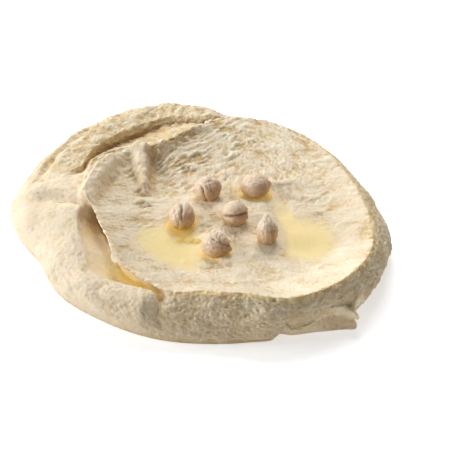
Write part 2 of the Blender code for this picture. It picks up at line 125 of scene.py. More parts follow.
STROKES = (TONGUE, ROLL, TEAR, LIP,
    (((-48.4, 57.2), (-55.6, 49.2), (-61.6, 39.3), (-66.7, 29.8), (-70.6, 19.3)),
     (2.4, 2.8, 3.0, 2.8, 2.4), (-0.9, -1.9, -2.1, -1.8, -0.6)),
    (((-55.6, 9.0), (-61.0, 12.6), (-68.1, 10.6), (-74.0, 5.7)),
     (5.0, 6.0, 6.0, 5.0), (0.2, 1.0, 1.0, 0.3)),
    (((8.4, -35.6), (12.5, -35.9), (15.9, -34.5)), (1.0, 1.2, 1.0), (0.3, 0.55, 0.2)),
    (((4.0, -37.5), (9.0, -37.6)), (0.9, 0.9), (0.4, 0.2)),
    (((24.5, 14.9), (28.3, 11.5), (32.0, 10.5), (36.2, 11.7)), (1.6, 2.0, 2.0, 1.2),
     (0.2, 0.9, 0.9, 0.2)),
    (((14.0, 21.5), (20.0, 20.0), (25.0, 21.0)), (1.6, 2.2, 1.4), (0.4, 1.0, 0.3)),
    (((38.0, 4.0), (33.0, 2.0), (27.0, 3.5)), (1.6, 2.0, 1.2), (0.2, 0.6, 0.1)),
)
LUMPS = (                   # x, y, spread, height
    (-30.8, 8.4, 1.6, 1.9), (-28.4, 7.2, 1.1, 1.2), (-0.6, 25.4, 1.3, 1.1), (2.7, 24.8, 1.2, 0.9),
    (5.3, 22.6, 1.3, 0.9),
    (-1.0, -24.5, 1.9, 1.3), (9.5, -22.0, 2.2, 1.1), (32.0, -30.0, 1.2, 0.9), (33.6, -28.0, 0.9, 0.7),
    (-16.0, 14.5, 2.0, 0.6), (1.0, -26.5, 1.0, 0.8), (-14.0, -24.0, 1.2, 0.3))
FLAP = (                    # the fold at the front right: angle, edge's radius and height, foot
    (290, 56.6, 0.9, 57.0), (296, 57.6, 1.6, 58.2), (300, 58.2, 2.6, 59.4), (303, 58.8, 5.0, 60.8),
    (306, 60.0, 7.0, 62.4), (308.8, 62.4, 7.4, 64.2), (310.2, 65.0, 6.4, 65.6), (311.2, 66.8, 5.0, 66.0),
    (312.5, 65.8, 4.4, 65.2), (315, 62.4, 3.2, 61.8))
FLAP_STRETCH = (288, 293, 312.5, 316.5)
FLAP_HOLLOW = 2.0           # how far the fold's face lies in behind its edge
FLAP_START = 0.45           # share of the wall above it

# Relief, by angle: height of the ripples outside the rim, of the grains, of the long swell
RELIEF = (
    (0, 0.44, 0.56, 0.5), (50, 0.44, 0.44, 0.4), (95, 0.85, 0.40, 0.5), (140, 0.90, 0.38, 0.6),
    (162, 0.36, 0.18, 0.8), (185, 0.16, 0.12, 0.9), (205, 0.22, 0.16, 0.8), (240, 0.24, 0.28, 0.8),
    (262, 0.30, 0.42, 0.8), (290, 0.34, 0.60, 0.6), (330, 0.40, 0.64, 0.6))
RAGGED = (                  # angle, unevenness of the rim
    (0, 0.45), (50, 0.9), (100, 1.2), (118, 2.2), (140, 1.8), (158, 0.6), (200, 1.1), (240, 1.2),
    (262, 1.2), (285, 2.0), (320, 2.4), (345, 1.6))

POOLS = {
    "oil_left": dict(middle=(-18.5, -17.5), level=8.3, depth=0.9, outline=(
        (0, 11.4), (38, 13.0), (66, 14.6), (112, 16.5), (142, 18.6), (168, 14.5), (205, 9.4),
        (250, 8.6), (286, 13.0), (304, 16.0), (325, 14.4), (345, 12.0))),
    "oil_right": dict(middle=(27.5, -13.5), level=8.5, depth=0.9, outline=(
        (0, 13.4), (30, 14.2), (60, 14.4), (82, 14.6), (97, 17.0), (107, 29.5), (116, 28.0),
        (128, 13.5), (145, 9.6), (178, 7.4), (215, 8.4), (243, 11.4), (270, 12.2), (306, 12.8),
        (340, 13.2))),
}
POOL_BANK = (0.70, 1.30)    # shares of a pool's outline between which its bank rises
MOATS = {"chickpea_left": 1.1, "chickpea_rear_right": 1.3, "chickpea_front": 0.6}
MOAT_WIDTH = 2.0
TROUGH_LEVEL = 8.5
TROUGH_ANGLES = (203, 245)
TROUGH_SHARES = (0.16, 0.42)   # shares of the way out from the rim that the groove's oil spans
BEADS = (                   # x, y and radius of each bead of oil
    (-16.2, -12.3, 1.5), (-12.6, -12.5, 1.65), (-9.8, -13.3, 1.3))
BEAD_RINGS = (0.12, 0.4, 0.65, 0.85, 0.96, 1.0)
BEAD_SPOKES = 28
BEAD_SINK = 0.15            # a bead's foot lies this far under the pool's level

# Where the colours of the paste change, as stretches. The groove, shaded, lit and sunlit stretches place
# painted shade and painted light.
SMOOTH_TROUGH = (186, 196, 243, 252)
SOAKED_TROUGH = (200, 222, 239, 245)
DARK_GROOVE = (98, 108, 244, 252)
DARKER_GROOVE = (172, 180, 190, 198)
PALER_GROOVE = (194, 208, 234, 242)
SHADED_GROOVE_BAND = (98, 104, 150, 164)
SHADED_REAR_RIDGE = (92, 104, 152, 170)
LIT_FLAP = (288, 294, 317, 322)
SUNLIT_RIM = (275, 300, 325, 350)
SMOOTH_LEFT = (150, 172, 222, 250)

# The view from the front: across, up and towards the viewer
VIEWED_DOWN = math.radians(38.0)
VIEW = np.array([[1.0, 0.0, 0.0],
                 [0.0, math.sin(VIEWED_DOWN), math.cos(VIEWED_DOWN)],
                 [0.0, -math.cos(VIEWED_DOWN), math.sin(VIEWED_DOWN)]])

SIDE_LAMP = (-0.66, 0.0, 0.24)   # metres
REAR_LAMP = (0.0, 0.47, 0.52)
LAMP_SIZE = 0.35
SHEET_HALF = 3.0
LOOKED_AT = (9.0, -10.2, 8.0)    # millimetres


def smooth_step(low, high, value):
    """0 below low, 1 above high, and an even curve between."""
    share = np.clip((value - low) / (high - low), 0.0, 1.0)
    return share * share * (3.0 - 2.0 * share)


def along(stretch, angle):
    """1 inside a stretch of angles and 0 outside it."""
    starts, full, still_full, ends = stretch
    return smooth_step(starts, full, angle) * (1.0 - smooth_step(still_full, ends, angle))


def around(keys, angle, column=1):
    """The keyed value at each angle, in degrees, on a smooth closed curve with no overshoot."""
    rows = np.array(keys, float)
    at = np.concatenate([rows[:, 0] - 360.0, rows[:, 0], rows[:, 0] + 360.0])
    value = np.tile(rows[:, column], 3)
    secant = np.diff(value) / np.diff(at)
    slope = np.zeros_like(value)
    same_way = secant[:-1] * secant[1:] > 0
    slope[1:-1][same_way] = (2.0 * secant[:-1] * secant[1:]
                             / np.where(same_way, secant[:-1] + secant[1:], 1.0))[same_way]
    angle = np.mod(angle, 360.0)
    i = np.clip(np.searchsorted(at, angle, side="right") - 1, 0, len(at) - 2)
    step = at[i + 1] - at[i]
    t = (angle - at[i]) / step
    return ((1 + 2 * t) * (1 - t) ** 2 * value[i] + t * (1 - t) ** 2 * step * slope[i]
            + t * t * (3 - 2 * t) * value[i + 1] - t * t * (1 - t) * step * slope[i + 1])


def noise(x, y, z, seed):
    """Smooth unevenness from about -1 to 1, with one bump or so to a unit of length."""
    chance = np.random.default_rng(seed)
    order = np.tile(chance.permutation(256), 2)
    slopes = chance.normal(size=(256, 3))
    slopes /= np.linalg.norm(slopes, axis=1, keepdims=True)
    x, y, z = np.broadcast_arrays(x, y, z)
    whole = [np.floor(v).astype(int) for v in (x, y, z)]
    part = [v - w for v, w in zip((x, y, z), whole)]
    fade = [p ** 3 * (p * (p * 6 - 15) + 10) for p in part]
    total = np.zeros(x.shape)
    for dx in (0, 1):
        for dy in (0, 1):
            for dz in (0, 1):
                pick = order[(whole[0] + dx) & 255]
                pick = order[(pick + whole[1] + dy) & 255]
                pick = order[(pick + whole[2] + dz) & 255]
                way = slopes[pick]
                height = (way[..., 0] * (part[0] - dx) + way[..., 1] * (part[1] - dy)
                          + way[..., 2] * (part[2] - dz))
                weight = ((fade[0] if dx else 1 - fade[0]) * (fade[1] if dy else 1 - fade[1])
                          * (fade[2] if dz else 1 - fade[2]))
                total += weight * height
    return total * 1.6


def layers_of_noise(x, y, z, seed, count, gain=0.5):
    """Noise with finer noise on it, each layer half the size of the one before."""
    total = np.zeros(np.broadcast(x, y, z).shape)
    for k in range(count):
        total += gain ** k * noise(x * 2 ** k, y * 2 ** k, z * 2 ** k, seed + 17 * k)
    return total


def grains(x, y, z, seed):
    """Rounded grains with creases between them, from about -0.5 to 0.7."""
    return 0.55 - 1.6 * np.abs(noise(x, y, z, seed)) + 0.5 * noise(x * 2.1, y * 2.1, z * 2.1, seed + 5)


def raised_stroke(x, y, points, widths, heights):
    """The height that a tapering stroke adds, steeper on its left side as it runs."""
    added = np.zeros_like(x)
    for i in range(len(points) - 1):
        start = np.array(points[i])
        way = np.array(points[i + 1]) - start
        length = np.hypot(*way)
        way /= length
        run = (x - start[0]) * way[0] + (y - start[1]) * way[1]
        share = np.clip(run / length, 0.0, 1.0)
        side = (x - start[0]) * way[1] - (y - start[1]) * way[0]
        past = run - share * length
        width = widths[i] + (widths[i + 1] - widths[i]) * share
        width = np.where(side < 0, 0.7 * width, 1.2 * width)
        top = heights[i] + (heights[i + 1] - heights[i]) * share
        here = top * (1.0 - smooth_step(0.25, 1.0, np.hypot(side, past) / width))
        added = np.where(np.abs(here) > np.abs(added), here, added)
    return added


def strokes_on(x, y):
    """The height that all the strokes add at each point, a little lumpy."""
    lumps = 1.0 + 0.14 * noise(x / 2.6, y / 2.6, 0.0, 95)
    return sum(raised_stroke(x, y, *stroke) for stroke in STROKES) * lumps


class Spread:
    """The shape of the hummus, in millimetres about the middle of its dish."""

    def __init__(self, settings):
        self.settings = settings
        self.feet = {}
        self.middle = np.array([(SPREAD_LOW[i] + SPREAD_HIGH[i]) / 2.0 / MM + DISH_OFF_MIDDLE[i]
                                for i in (0, 1)])
        for name in PEAS:
            low, high = (np.array(corner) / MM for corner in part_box(name))
            centre = (low + high) / 2.0
            self.feet[name] = (centre[0] - self.middle[0], centre[1] - self.middle[1],
                               0.5 * (high[0] - low[0]), 0.5 * (high[1] - low[1]))

    def wall(self, start_radius, start_height, angle, share, edge=0.0):
        """Radius and height on the wall, from its crest at share 0 to the ground at share 1."""
        turn = share * math.pi / 2.0
        foot = around(BASE, angle)
        out = (1.0 - edge) * np.sin(turn) + edge * share
        radius = start_radius + (foot - start_radius) * out
        radius = radius + around(BELLY, angle) * np.sin(math.pi * share) ** (1.0 + edge)
        radius = radius - TUCK * smooth_step(0.80, 1.0, share)
        round_down = np.maximum(np.cos(turn), 0.0) ** WALL_FULLNESS
        return radius, start_height * ((1.0 - edge) * round_down + edge * (1.0 - share ** 1.15))

    def wall_with_flap(self, angle, share):
        """The wall below the rim, with the fold that stands out at its foot at the front right."""
        start_radius = around(RIM, angle, 1)
        start_height = around(RIM, angle, 2)
        plain = self.wall(start_radius, start_height, angle, share, around(CREST_EDGE, angle))
        length = along(FLAP_STRETCH, angle)
        edge_radius, edge_height, foot = (around(FLAP, angle, c) for c in (1, 2, 3))
        above = np.clip((1.0 - (edge_height + 0.8) / start_height) ** 0.87, 0.1, 0.9)
        if share < FLAP_START:
            folded = self.wall(start_radius, start_height, angle, share / FLAP_START * above,
                               around(CREST_EDGE, angle))
        else:
            radius, height = self.wall(start_radius, start_height, angle, above,
                                       around(CREST_EDGE, angle))
            radius = np.minimum(radius, edge_radius - 0.4)
            stations = [
                (radius, height, 0.4),
                (0.5 * (radius + edge_radius), 0.5 * (height + edge_height) + 0.1, 0.8),
                (edge_radius, edge_height, 0.2),
                (0.5 * (edge_radius + foot) - FLAP_HOLLOW, 0.55 * edge_height, 0.9),
                (foot, np.zeros_like(angle), 0.6),
            ]
            folded = along_stations(stations, (share - FLAP_START) / (1.0 - FLAP_START)
                                    * (len(stations) - 1))
        return [plain[c] + (folded[c] - plain[c]) * length for c in (0, 1)]

    def outer_profile(self, angle, share):
        """Radius and height outside the rim: share 0 is the rim and share 1 is the ground."""
        rim_radius = around(RIM, angle, 1)
        rim_height = around(RIM, angle, 2)
        edge_radius = around(GROOVE_EDGE, angle, 1)
        edge_height = around(GROOVE_EDGE, angle, 2)
        floor_height = around(GROOVE_FLOOR, angle, 1)
        lowest = around(GROOVE_FLOOR, angle, 2)
        crest_radius = edge_radius + around(RIDGE, angle, 1)
        crest_height = around(RIDGE, angle, 2)
        width = edge_radius - rim_radius
        undercut = LIP_UNDERCUT * (1.0 - smooth_step(0.2, 0.6, lowest))
        stations = [
            (rim_radius, rim_height, 0.25),
            (rim_radius - undercut * 0.6 + lowest * width * 0.35,
             rim_height + (floor_height - rim_height) * (0.55 - 0.25 * lowest), 0.7),
            (rim_radius - undercut + lowest * width, floor_height, 0.35),
            (rim_radius + width * (0.70 + 0.25 * smooth_step(0.3, 0.9, lowest)),
             floor_height + (edge_height - floor_height) * (0.36 + 0.19 * lowest), 0.8),
            (edge_radius, edge_height, 0.18),
            (crest_radius, crest_height, 1.0),
        ]
        if share < GROOVE_SHARE:
            grooved = along_stations(stations, share / GROOVE_SHARE * (len(stations) - 1))
        else:
            grooved = self.wall(crest_radius, crest_height, angle,
                                (share - GROOVE_SHARE) / (1.0 - GROOVE_SHARE))
        plain = self.wall_with_flap(angle, share)
        openness = np.zeros_like(angle)
        for stretch in GROOVE_STRETCHES:
            openness = np.maximum(openness, along(stretch, angle))
        return [plain[c] + (grooved[c] - plain[c]) * openness for c in (0, 1)]

    def dish_height(self, share, x, y, angle):
        """Height of the dish's inside at a share of the way to the rim."""
        rim = around(RIM, angle, 2)
        foot = around(DISH_SLOPE, angle)
        climb = np.clip((share - foot) / (1.0 - foot), 0.0, 1.0) ** around(DISH_SLOPE, angle, 2)
        height = FLOOR + (rim - FLOOR) * climb
        height = height + MOUND[3] * np.exp(-((x - MOUND[0]) ** 2 + (y - MOUND[1]) ** 2)
                                            / MOUND[2] ** 2)
        for pool in POOLS.values():
            far, shore = self.pool_reach(pool, x, y)
            floor = pool["level"] - pool["depth"] * (0.55 + 0.45 * smooth_step(1.0, 0.3, far / shore))
            bank = 1.0 - smooth_step(*POOL_BANK, far / shore)
            height = height + (np.minimum(height, floor) - height) * bank
        for lump_x, lump_y, spread, top in LUMPS:
            height = height + top * np.exp(-((x - lump_x) ** 2 + (y - lump_y) ** 2) / spread ** 2)
        for name, depth in MOATS.items():
            height = height - depth * np.exp(-(self.clear_of_pea(name, x, y) / MOAT_WIDTH) ** 2)
        return height + strokes_on(x, y)

    def pool_reach(self, pool, x, y):
        """How far a point is from a pool's middle, and how far the shore is that way."""
        dx = x - pool["middle"][0]
        dy = y - pool["middle"][1]
        return np.hypot(dx, dy), around(pool["outline"], np.degrees(np.arctan2(dy, dx)))

    def clear_of_pea(self, name, x, y):
        """Distance from a chickpea's side, seen from above, and 0 under it."""
        px, py, half_x, half_y = self.feet[name]
        dx, dy = x - px, y - py
        far = np.hypot(dx, dy)
        reach = 0.8 / np.sqrt((dx / np.maximum(far, 1e-6) / half_x) ** 2
                              + (dy / np.maximum(far, 1e-6) / half_y) ** 2 + 1e-9)
        return np.maximum(far - reach, 0.0)

    def dish_relief(self, share, x, y, angle):
        """Streaks, tears and grains on the inside of the dish, with wet places smoothed."""
        looks = self.settings
        bend = y + 0.004 * (x + 4.0) ** 2
        warp = 2.2 * noise(x / 12.0, y / 12.0, 0.3, 11)
        slant = 0.55 * smooth_step(2.0, 22.0, y) * (1.0 - smooth_step(4.0, 34.0, x))
        bend = bend - slant * (x + 20.0)
        streaks = layers_of_noise(x / 4.2, (bend + warp) / 1.5, 0.0, 21, 3, 0.65)
        rear = smooth_step(0.34, 0.62, share) * np.clip(np.sin(np.radians(angle)) * 1.6, 0.0, 1.0)
        torn = noise(x / 5.0, (bend + 1.4 * warp) / 2.2, 0.0, 31) + 0.5 * noise(x / 2.0, bend / 1.0, 0.0, 32)
        tears = (smooth_step(-0.05, 0.30, torn) - 0.5) * smooth_step(-0.3, 0.3, noise(
            x / 11.0, y / 9.0, 0.0, 33))
        dry = 1.0 - self.wetness(x, y)
        plump = smooth_step(0.4, 1.8, raised_stroke(x, y, *TONGUE) + raised_stroke(x, y, *ROLL))
        swell = noise(x / 9.0, y / 6.0, 0.0, 35) * (1.0 - 0.5 * plump)
        tears = tears * (1.0 - 0.85 * plump) * (1.0 - 0.72 * smooth_step(-6.0, 18.0, x))
        streaks = streaks * (1.0 - 0.55 * plump)
        relief = looks.streak_height * streaks * (0.7 + 0.7 * rear)
        relief = relief + looks.tear_height * tears * (0.25 + 0.75 * rear)
        relief = relief + looks.grain_height * (0.45 + 0.1 * rear) * grains(x / 1.5, bend / 0.9, 0.0, 41)
        relief = relief + 0.35 * swell
        return relief * (0.10 + 0.90 * dry)

    def wetness(self, x, y):
        """1 in the oil and 0 away from it."""
        wet = np.zeros(np.broadcast(x, y).shape)
        for pool in POOLS.values():
            far, shore = self.pool_reach(pool, x, y)
            edge = far / shore + 0.10 * noise(x / 4.0, y / 3.0, 0.0, 91)
            inside = (1.0 - smooth_step(0.50, 1.14, edge)) * (1.0 - 0.7 * smooth_step(15.0, 20.0, far))
            wet = np.maximum(wet, inside)
        for name in MOATS:
            wet = np.maximum(wet, 0.9 * np.exp(-(self.clear_of_pea(name, x, y) / 1.6) ** 2))
        return wet

    def top_at(self, x, y):
        """Height of the dish's finished surface at a point."""
        angle = np.degrees(np.arctan2(y, x))
        share = np.hypot(x, y) / around(RIM, angle)
        return self.dish_height(share, x, y, angle) + self.dish_relief(share, x, y, angle)


def along_stations(stations, at):
    """Points on a smooth curve through stations of (radius, height, roundness), per spoke."""
    i = min(int(at), len(stations) - 2)
    t = at - i

    def tangent(k):
        before = stations[max(k - 1, 0)]
        after = stations[min(k + 1, len(stations) - 1)]
        return [0.5 * stations[k][2] * (after[c] - before[c]) for c in (0, 1)]

    first, second = tangent(i), tangent(i + 1)
    return [(1 + 2 * t) * (1 - t) ** 2 * stations[i][c] + t * (1 - t) ** 2 * first[c]
            + t * t * (3 - 2 * t) * stations[i + 1][c] - t * t * (1 - t) * second[c]
            for c in (0, 1)]


def normals_of(grid):
    """Outward unit normals of rings of points."""
    outward = np.gradient(grid, axis=0)
    sideways = np.roll(grid, -1, axis=1) - np.roll(grid, 1, axis=1)
    normal = np.cross(outward, sideways)
    return normal / np.maximum(np.linalg.norm(normal, axis=2, keepdims=True), 1e-9)


class Places:
    """The plain spread's points, in rings from the middle to the ground, and where each one is."""

    def __init__(self, spread, spokes, dish_rings, outer_rings):
        angle = np.arange(spokes) * 360.0 / spokes
        across, up = np.cos(np.radians(angle)), np.sin(np.radians(angle))
        rows, shares = [], []
        for k in range(1, dish_rings + 1):
            share = 1.0 - (1.0 - k / dish_rings) ** 1.4
            radius = around(RIM, angle) * share
            x, y = radius * across, radius * up
            rows.append(np.stack([x, y, spread.dish_height(share, x, y, angle)], axis=1))
            shares.append(share - 1.0)
        for k in range(1, outer_rings + 1):
            share = k / outer_rings
            radius, height = spread.outer_profile(angle, share)
            rows.append(np.stack([radius * across, radius * up, height], axis=1))
            shares.append(share)
        self.grid = np.array(rows)
        self.x, self.y, self.z = (self.grid[..., c] for c in range(3))
        self.share = np.broadcast_to(np.array(shares)[:, None], self.grid.shape[:2])
        self.turn = np.broadcast_to(angle[None, :], self.grid.shape[:2])
        step = np.linalg.norm(np.diff(self.grid, axis=0), axis=2)
        path = np.concatenate([np.zeros((1, spokes)), np.cumsum(step, axis=0)])
        self.path = path - path[dish_rings - 1]
        self.outside = smooth_step(0.0, 1.5, self.path)
        self.round_x, self.round_y = np.cos(np.radians(self.turn)), np.sin(np.radians(self.turn))
        self.ragged = (noise(self.round_x * 20, self.round_y * 20, 0.0, 81)
                       + 0.8 * noise(self.round_x * 44, self.round_y * 44, 0.0, 82))
        self.trough = along(SMOOTH_TROUGH, self.turn)
        self.smooth_groove = np.exp(-((self.share - 0.24) / 0.16) ** 2) * self.trough


def relief_at(spread, at):
    """How far each point stands out of the plain spread, and how much more in the long swell."""
    looks = spread.settings
    x, y, z, share, turn = at.x, at.y, at.z, at.share, at.turn
    inside = spread.dish_relief(share + 1.0, x, y, turn)
    ripple = (0.7 * layers_of_noise(at.round_x * 17, at.round_y * 17, at.path / 1.5, 51, 3, 0.6)
              + 0.5 * layers_of_noise(at.round_x * 8, at.round_y * 8, at.path / 3.4, 52, 2))
    grain = (0.6 * grains(x / 1.5, y / 1.5, z / 1.5, 61)
             + 0.5 * grains(x / 0.8, y / 0.8, z / 0.8, 62))
    outer = (around(RELIEF, turn, 1) / 0.5 * looks.ripple_height * ripple
             + around(RELIEF, turn, 2) / 0.3 * looks.grain_height * grain)
    outer = outer * (1.0 - 0.4 * at.smooth_groove) * (1.0 - 0.6 * smooth_step(0.93, 1.0, share))
    relief = inside * (1.0 - at.outside) + outer * at.outside
    crest = np.exp(-(at.path / 1.3) ** 2)
    relief = relief + looks.crest_height * crest * at.ragged * around(RAGGED, turn)
    swell = layers_of_noise(x / 13, y / 13, z / 9, 71, 2)
    return relief, (at.outside * around(RELIEF, turn, 3) * looks.swell_height * swell
                    * (1.0 - smooth_step(0.9, 1.0, share)))


def painted_groove_shade(at):
    """Painted shade by how deep in the groove each point lies: 0 on the open surface and about 1 at the
    floor.
    """
    share, turn = at.share, at.turn
    slant = np.clip((np.hypot(at.x, at.y) - around(RIM, turn)) / 9.0, 0.0, 1.0)
    bridge = around(RIM, turn, 2) + (around(GROOVE_EDGE, turn, 2) - around(RIM, turn, 2)) * slant
    deep = 4.2 + 2.8 * smooth_step(166, 182, turn)
    shade_and_browning = smooth_step(0.14, 1.0, (bridge - at.z) / deep) * along(DARK_GROOVE, turn)
    shade_and_browning = shade_and_browning * (share > 0) * (share < GROOVE_SHARE)
    return shade_and_browning * (0.9 + 0.5 * along(DARKER_GROOVE, turn)) * (1.0 - 0.55 * along(PALER_GROOVE, turn))


def painted_at(spread, at, relief):
    """What the material reads at each point, painted shade and painted light among it."""
    x, y, share, turn, outside = at.x, at.y, at.share, at.turn, at.outside
    soaked = at.trough * np.exp(-((share - 0.20) / 0.14) ** 2) * (share > 0) \
        * along(SOAKED_TROUGH, turn)
    wet = np.where(share <= 0, spread.wetness(x, y), soaked)
    # Painted shade in a strip of the groove at the rear left.
    shaded_groove_strip = along(SHADED_GROOVE_BAND, turn) * (share > 0) * (share < 0.42)
    front = np.maximum(smooth_step(225, 258, turn), 1.0 - smooth_step(40, 90, turn))
    # Painted shade on the outer slope behind the groove at the rear.
    shaded_ridge = along(SHADED_REAR_RIDGE, turn) * smooth_step(0.24, 0.36, share)
    # The fold at the front right, where the paste gets a painted glow.
    flap = along(LIT_FLAP, turn) * smooth_step(0.55, 0.66, share)
    # Painted shade in the recess between the fold and the wall.
    flap_recess_shade = flap * smooth_step(0.80, 0.88, share) * smooth_step(301, 306, turn)
    # Painted shade in a ragged line just outside the rim at the front and right; it also turns golden and
    # glows below.
    edge = np.exp(-((at.path - 0.6) / 0.9) ** 2) * front * np.clip(0.8 + 0.7 * at.ragged, 0.0, 1.0)
    # Painted light: the lip's crest glows as if lit from the left.
    lip_glow = smooth_step(0.3, 0.9, raised_stroke(x, y, *LIP)) * (share < 0.03)
    # Browner along the tear's crest.
    torn_edge = smooth_step(0.5, 1.8, raised_stroke(x, y, *TEAR)) * (share < 0)
    # Painted shade on the right flanks of the tongue and the roll.
    flank_shade = np.clip(raised_stroke(x - 2.6, y, *TONGUE) - raised_stroke(x + 0.6, y, *TONGUE), 0.0, 2.4)
    flank_shade += 0.38 * np.clip(
        raised_stroke(x - 2.4, y + 0.8, *ROLL) - raised_stroke(x + 0.4, y, *ROLL), 0.0, 3.0)
    # Golden oil at the chickpeas' feet with painted light over their shadows, and a golden line along the
    # rim's edge; both also glow.
    gold_and_glow = 0.38 * edge
    for name, depth in MOATS.items():
        near = np.exp(-(spread.clear_of_pea(name, x, y) / MOAT_WIDTH) ** 2)
        gold_and_glow = np.maximum(gold_and_glow, near * (share <= 0) * min(1.0, depth))
    sunlit = along(SUNLIT_RIM, turn) * smooth_step(-0.5, -0.15, share) * (share <= 0)
    # Painted shade on the groove's strip, the flanks, the fold's recess and the rim's edge, and a browner
    # tone on the tear's crest.
    shade_and_browning_marks = np.maximum.reduce([0.14 * shaded_groove_strip, 0.30 * torn_edge, 0.34 * flank_shade, 0.4 * flap_recess_shade,
                              0.55 * edge])
    # Painted shade, darker and warmer, on the walls at the front and right, outside the groove at the rear
    # and in the groove's strip; less on the fold.
    warm = np.maximum.reduce([front * outside, 0.8 * shaded_ridge, 1.2 * shaded_groove_strip]) * (1.0 - 0.7 * flap)
    coarse = (0.55 + 0.45 * outside) * (1.0 - 0.7 * np.maximum(wet, 0.5 * at.smooth_groove * outside))
    coarse = coarse * (1.0 - 0.5 * along(SMOOTH_LEFT, turn) * outside)
    # Painted light: the paste glows by the chickpeas, on the fold, in the soaked trough, on the lip, in the
    # right pool and on the sunlit rim.
    glow = np.maximum.reduce([0.9 * gold_and_glow, 1.3 * flap * (1.0 - 0.5 * flap_recess_shade), 0.2 * soaked,
                              0.5 * lip_glow, 0.7 * wet ** 2 * smooth_step(5.0, 20.0, x) * (share < 0),
                              sunlit])
    return dict(relief=np.clip(0.5 + relief / 1.1, 0.0, 1.0), wet=wet, coarse=coarse,
                shade_and_browning=np.maximum(painted_groove_shade(at), shade_and_browning_marks), warm=warm, gold_and_glow=gold_and_glow, glow=glow)


def hummus_grid(spread, spokes, dish_rings, outer_rings):
    """The finished surface: rings of points, and what the material reads at each of them."""
    at = Places(spread, spokes, dish_rings, outer_rings)
    relief, swell = relief_at(spread, at)
    at.z += np.where(at.share > 0, strokes_on(at.x, at.y) * smooth_step(1.0, 6.0, at.z), 0.0)
    fade = smooth_step(0.0, 0.25, at.z / 2.0)
    grid = at.grid + normals_of(at.grid) * ((relief + swell) * fade)[..., None]
    grid[..., 2] = np.maximum(grid[..., 2], 0.0)
    grid[-1, :, 2] = 0.0
    return grid, painted_at(spread, at, relief)


def mesh_piece(name, points, faces, material, smooth=True):
    """A new object from points in metres and faces, riding on the body."""
    mesh = bpy.data.meshes.new(name)
    mesh.from_pydata([tuple(p) for p in points], [], faces)
    mesh.validate()
    mesh.update()
    if smooth:
        mesh.shade_smooth()
    mesh.materials.append(material)
    piece = bpy.data.objects.new(name, mesh)
    bpy.context.scene.collection.objects.link(piece)
    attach(piece, BODY)
    return piece


def paint_points(piece, name, values):
    """Stores a value for each point, which the material reads."""
    layer = piece.data.attributes.new(name, "FLOAT", "POINT")
    layer.data.foreach_set("value", np.asarray(values, np.float32).ravel())


def ring_faces(rings, count, first=0):
    """Quads between rings of points that are numbered ring by ring."""
    faces = []
    for k in range(rings - 1):
        low = first + k * count
        for i in range(count):
            j = (i + 1) % count
            faces.append((low + i, low + count + i, low + count + j, low + j))
    return faces


class Link:
    """A socket's value in a material, which Python's operators work on."""

    def __init__(self, recipe, socket):
        self.recipe = recipe
        self.socket = socket

    def _math(self, operation, first, second):
        return self.recipe.node("ShaderNodeMath", {"operation": operation}, {0: first, 1: second})

    def __add__(self, other):
        return self._math("ADD", self, other)

    def __radd__(self, other):
        return self._math("ADD", other, self)

    def __sub__(self, other):
        return self._math("SUBTRACT", self, other)

    def __rsub__(self, other):
        return self._math("SUBTRACT", other, self)

    def __mul__(self, other):
        return self._math("MULTIPLY", self, other)

    def __rmul__(self, other):
        return self._math("MULTIPLY", other, self)

    def between(self, low, high):
        """0 where the value is low, 1 where it is high."""
        return self.recipe.node("ShaderNodeMapRange", {"interpolation_type": "SMOOTHSTEP"},
                                {"Value": self, "From Min": low, "From Max": high})


class Recipe:
    """A material and the nodes that make it."""

    def __init__(self, name):
        self.material = bpy.data.materials.new(name)
        self.material.use_nodes = True
        self.tree = self.material.node_tree
        self.tree.nodes.clear()

    def node(self, kind, settings=None, sockets=None, output=0):
        """A node of a kind, its settings made first, then its sockets' values or links."""
        made = self.tree.nodes.new(kind)
        for key, value in (settings or {}).items():
            setattr(made, key, value)
        for key, value in (sockets or {}).items():
            if isinstance(value, Link):
                self.tree.links.new(value.socket, made.inputs[key])
            else:
                made.inputs[key].default_value = value
        return Link(self, made.outputs[output])

    def blend(self, factor, first, second):
        """A colour between two colours."""
        first = first if isinstance(first, Link) else (*first, 1.0)
        second = second if isinstance(second, Link) else (*second, 1.0)
        return self.node("ShaderNodeMix", {"data_type": "RGBA"}, {0: factor, 6: first, 7: second}, 2)

    def painted(self, name):
        """A value stored on the mesh."""
        return self.node("ShaderNodeAttribute", {"attribute_name": name}, output=2)

    def grain(self, size, detail=3.0, rough=0.55, squash=(1.0, 1.0, 1.0)):
        """Unevenness with bumps about so many metres across."""
        place = self.node("ShaderNodeTexCoord", output=3)
        place = self.node("ShaderNodeVectorMath", {"operation": "MULTIPLY"}, {0: place, 1: squash})
        return self.node("ShaderNodeTexNoise", None, {"Vector": place, "Scale": 1.0 / size,
                                                      "Detail": detail, "Roughness": rough})

    def pebbles(self, size):
        """Distance from the middle of the nearest pebble, of pebbles so many metres across."""
        place = self.node("ShaderNodeTexCoord", output=3)
        return self.node("ShaderNodeTexVoronoi", {"feature": "SMOOTH_F1"},
                         {"Vector": place, "Scale": 1.0 / size, "Smoothness": 0.6})

    def finish(self, shader):
        """Ends the recipe with its shader."""
        ending = self.tree.nodes.new("ShaderNodeOutputMaterial")
        self.tree.links.new(shader.socket, ending.inputs["Surface"])
        return self.material


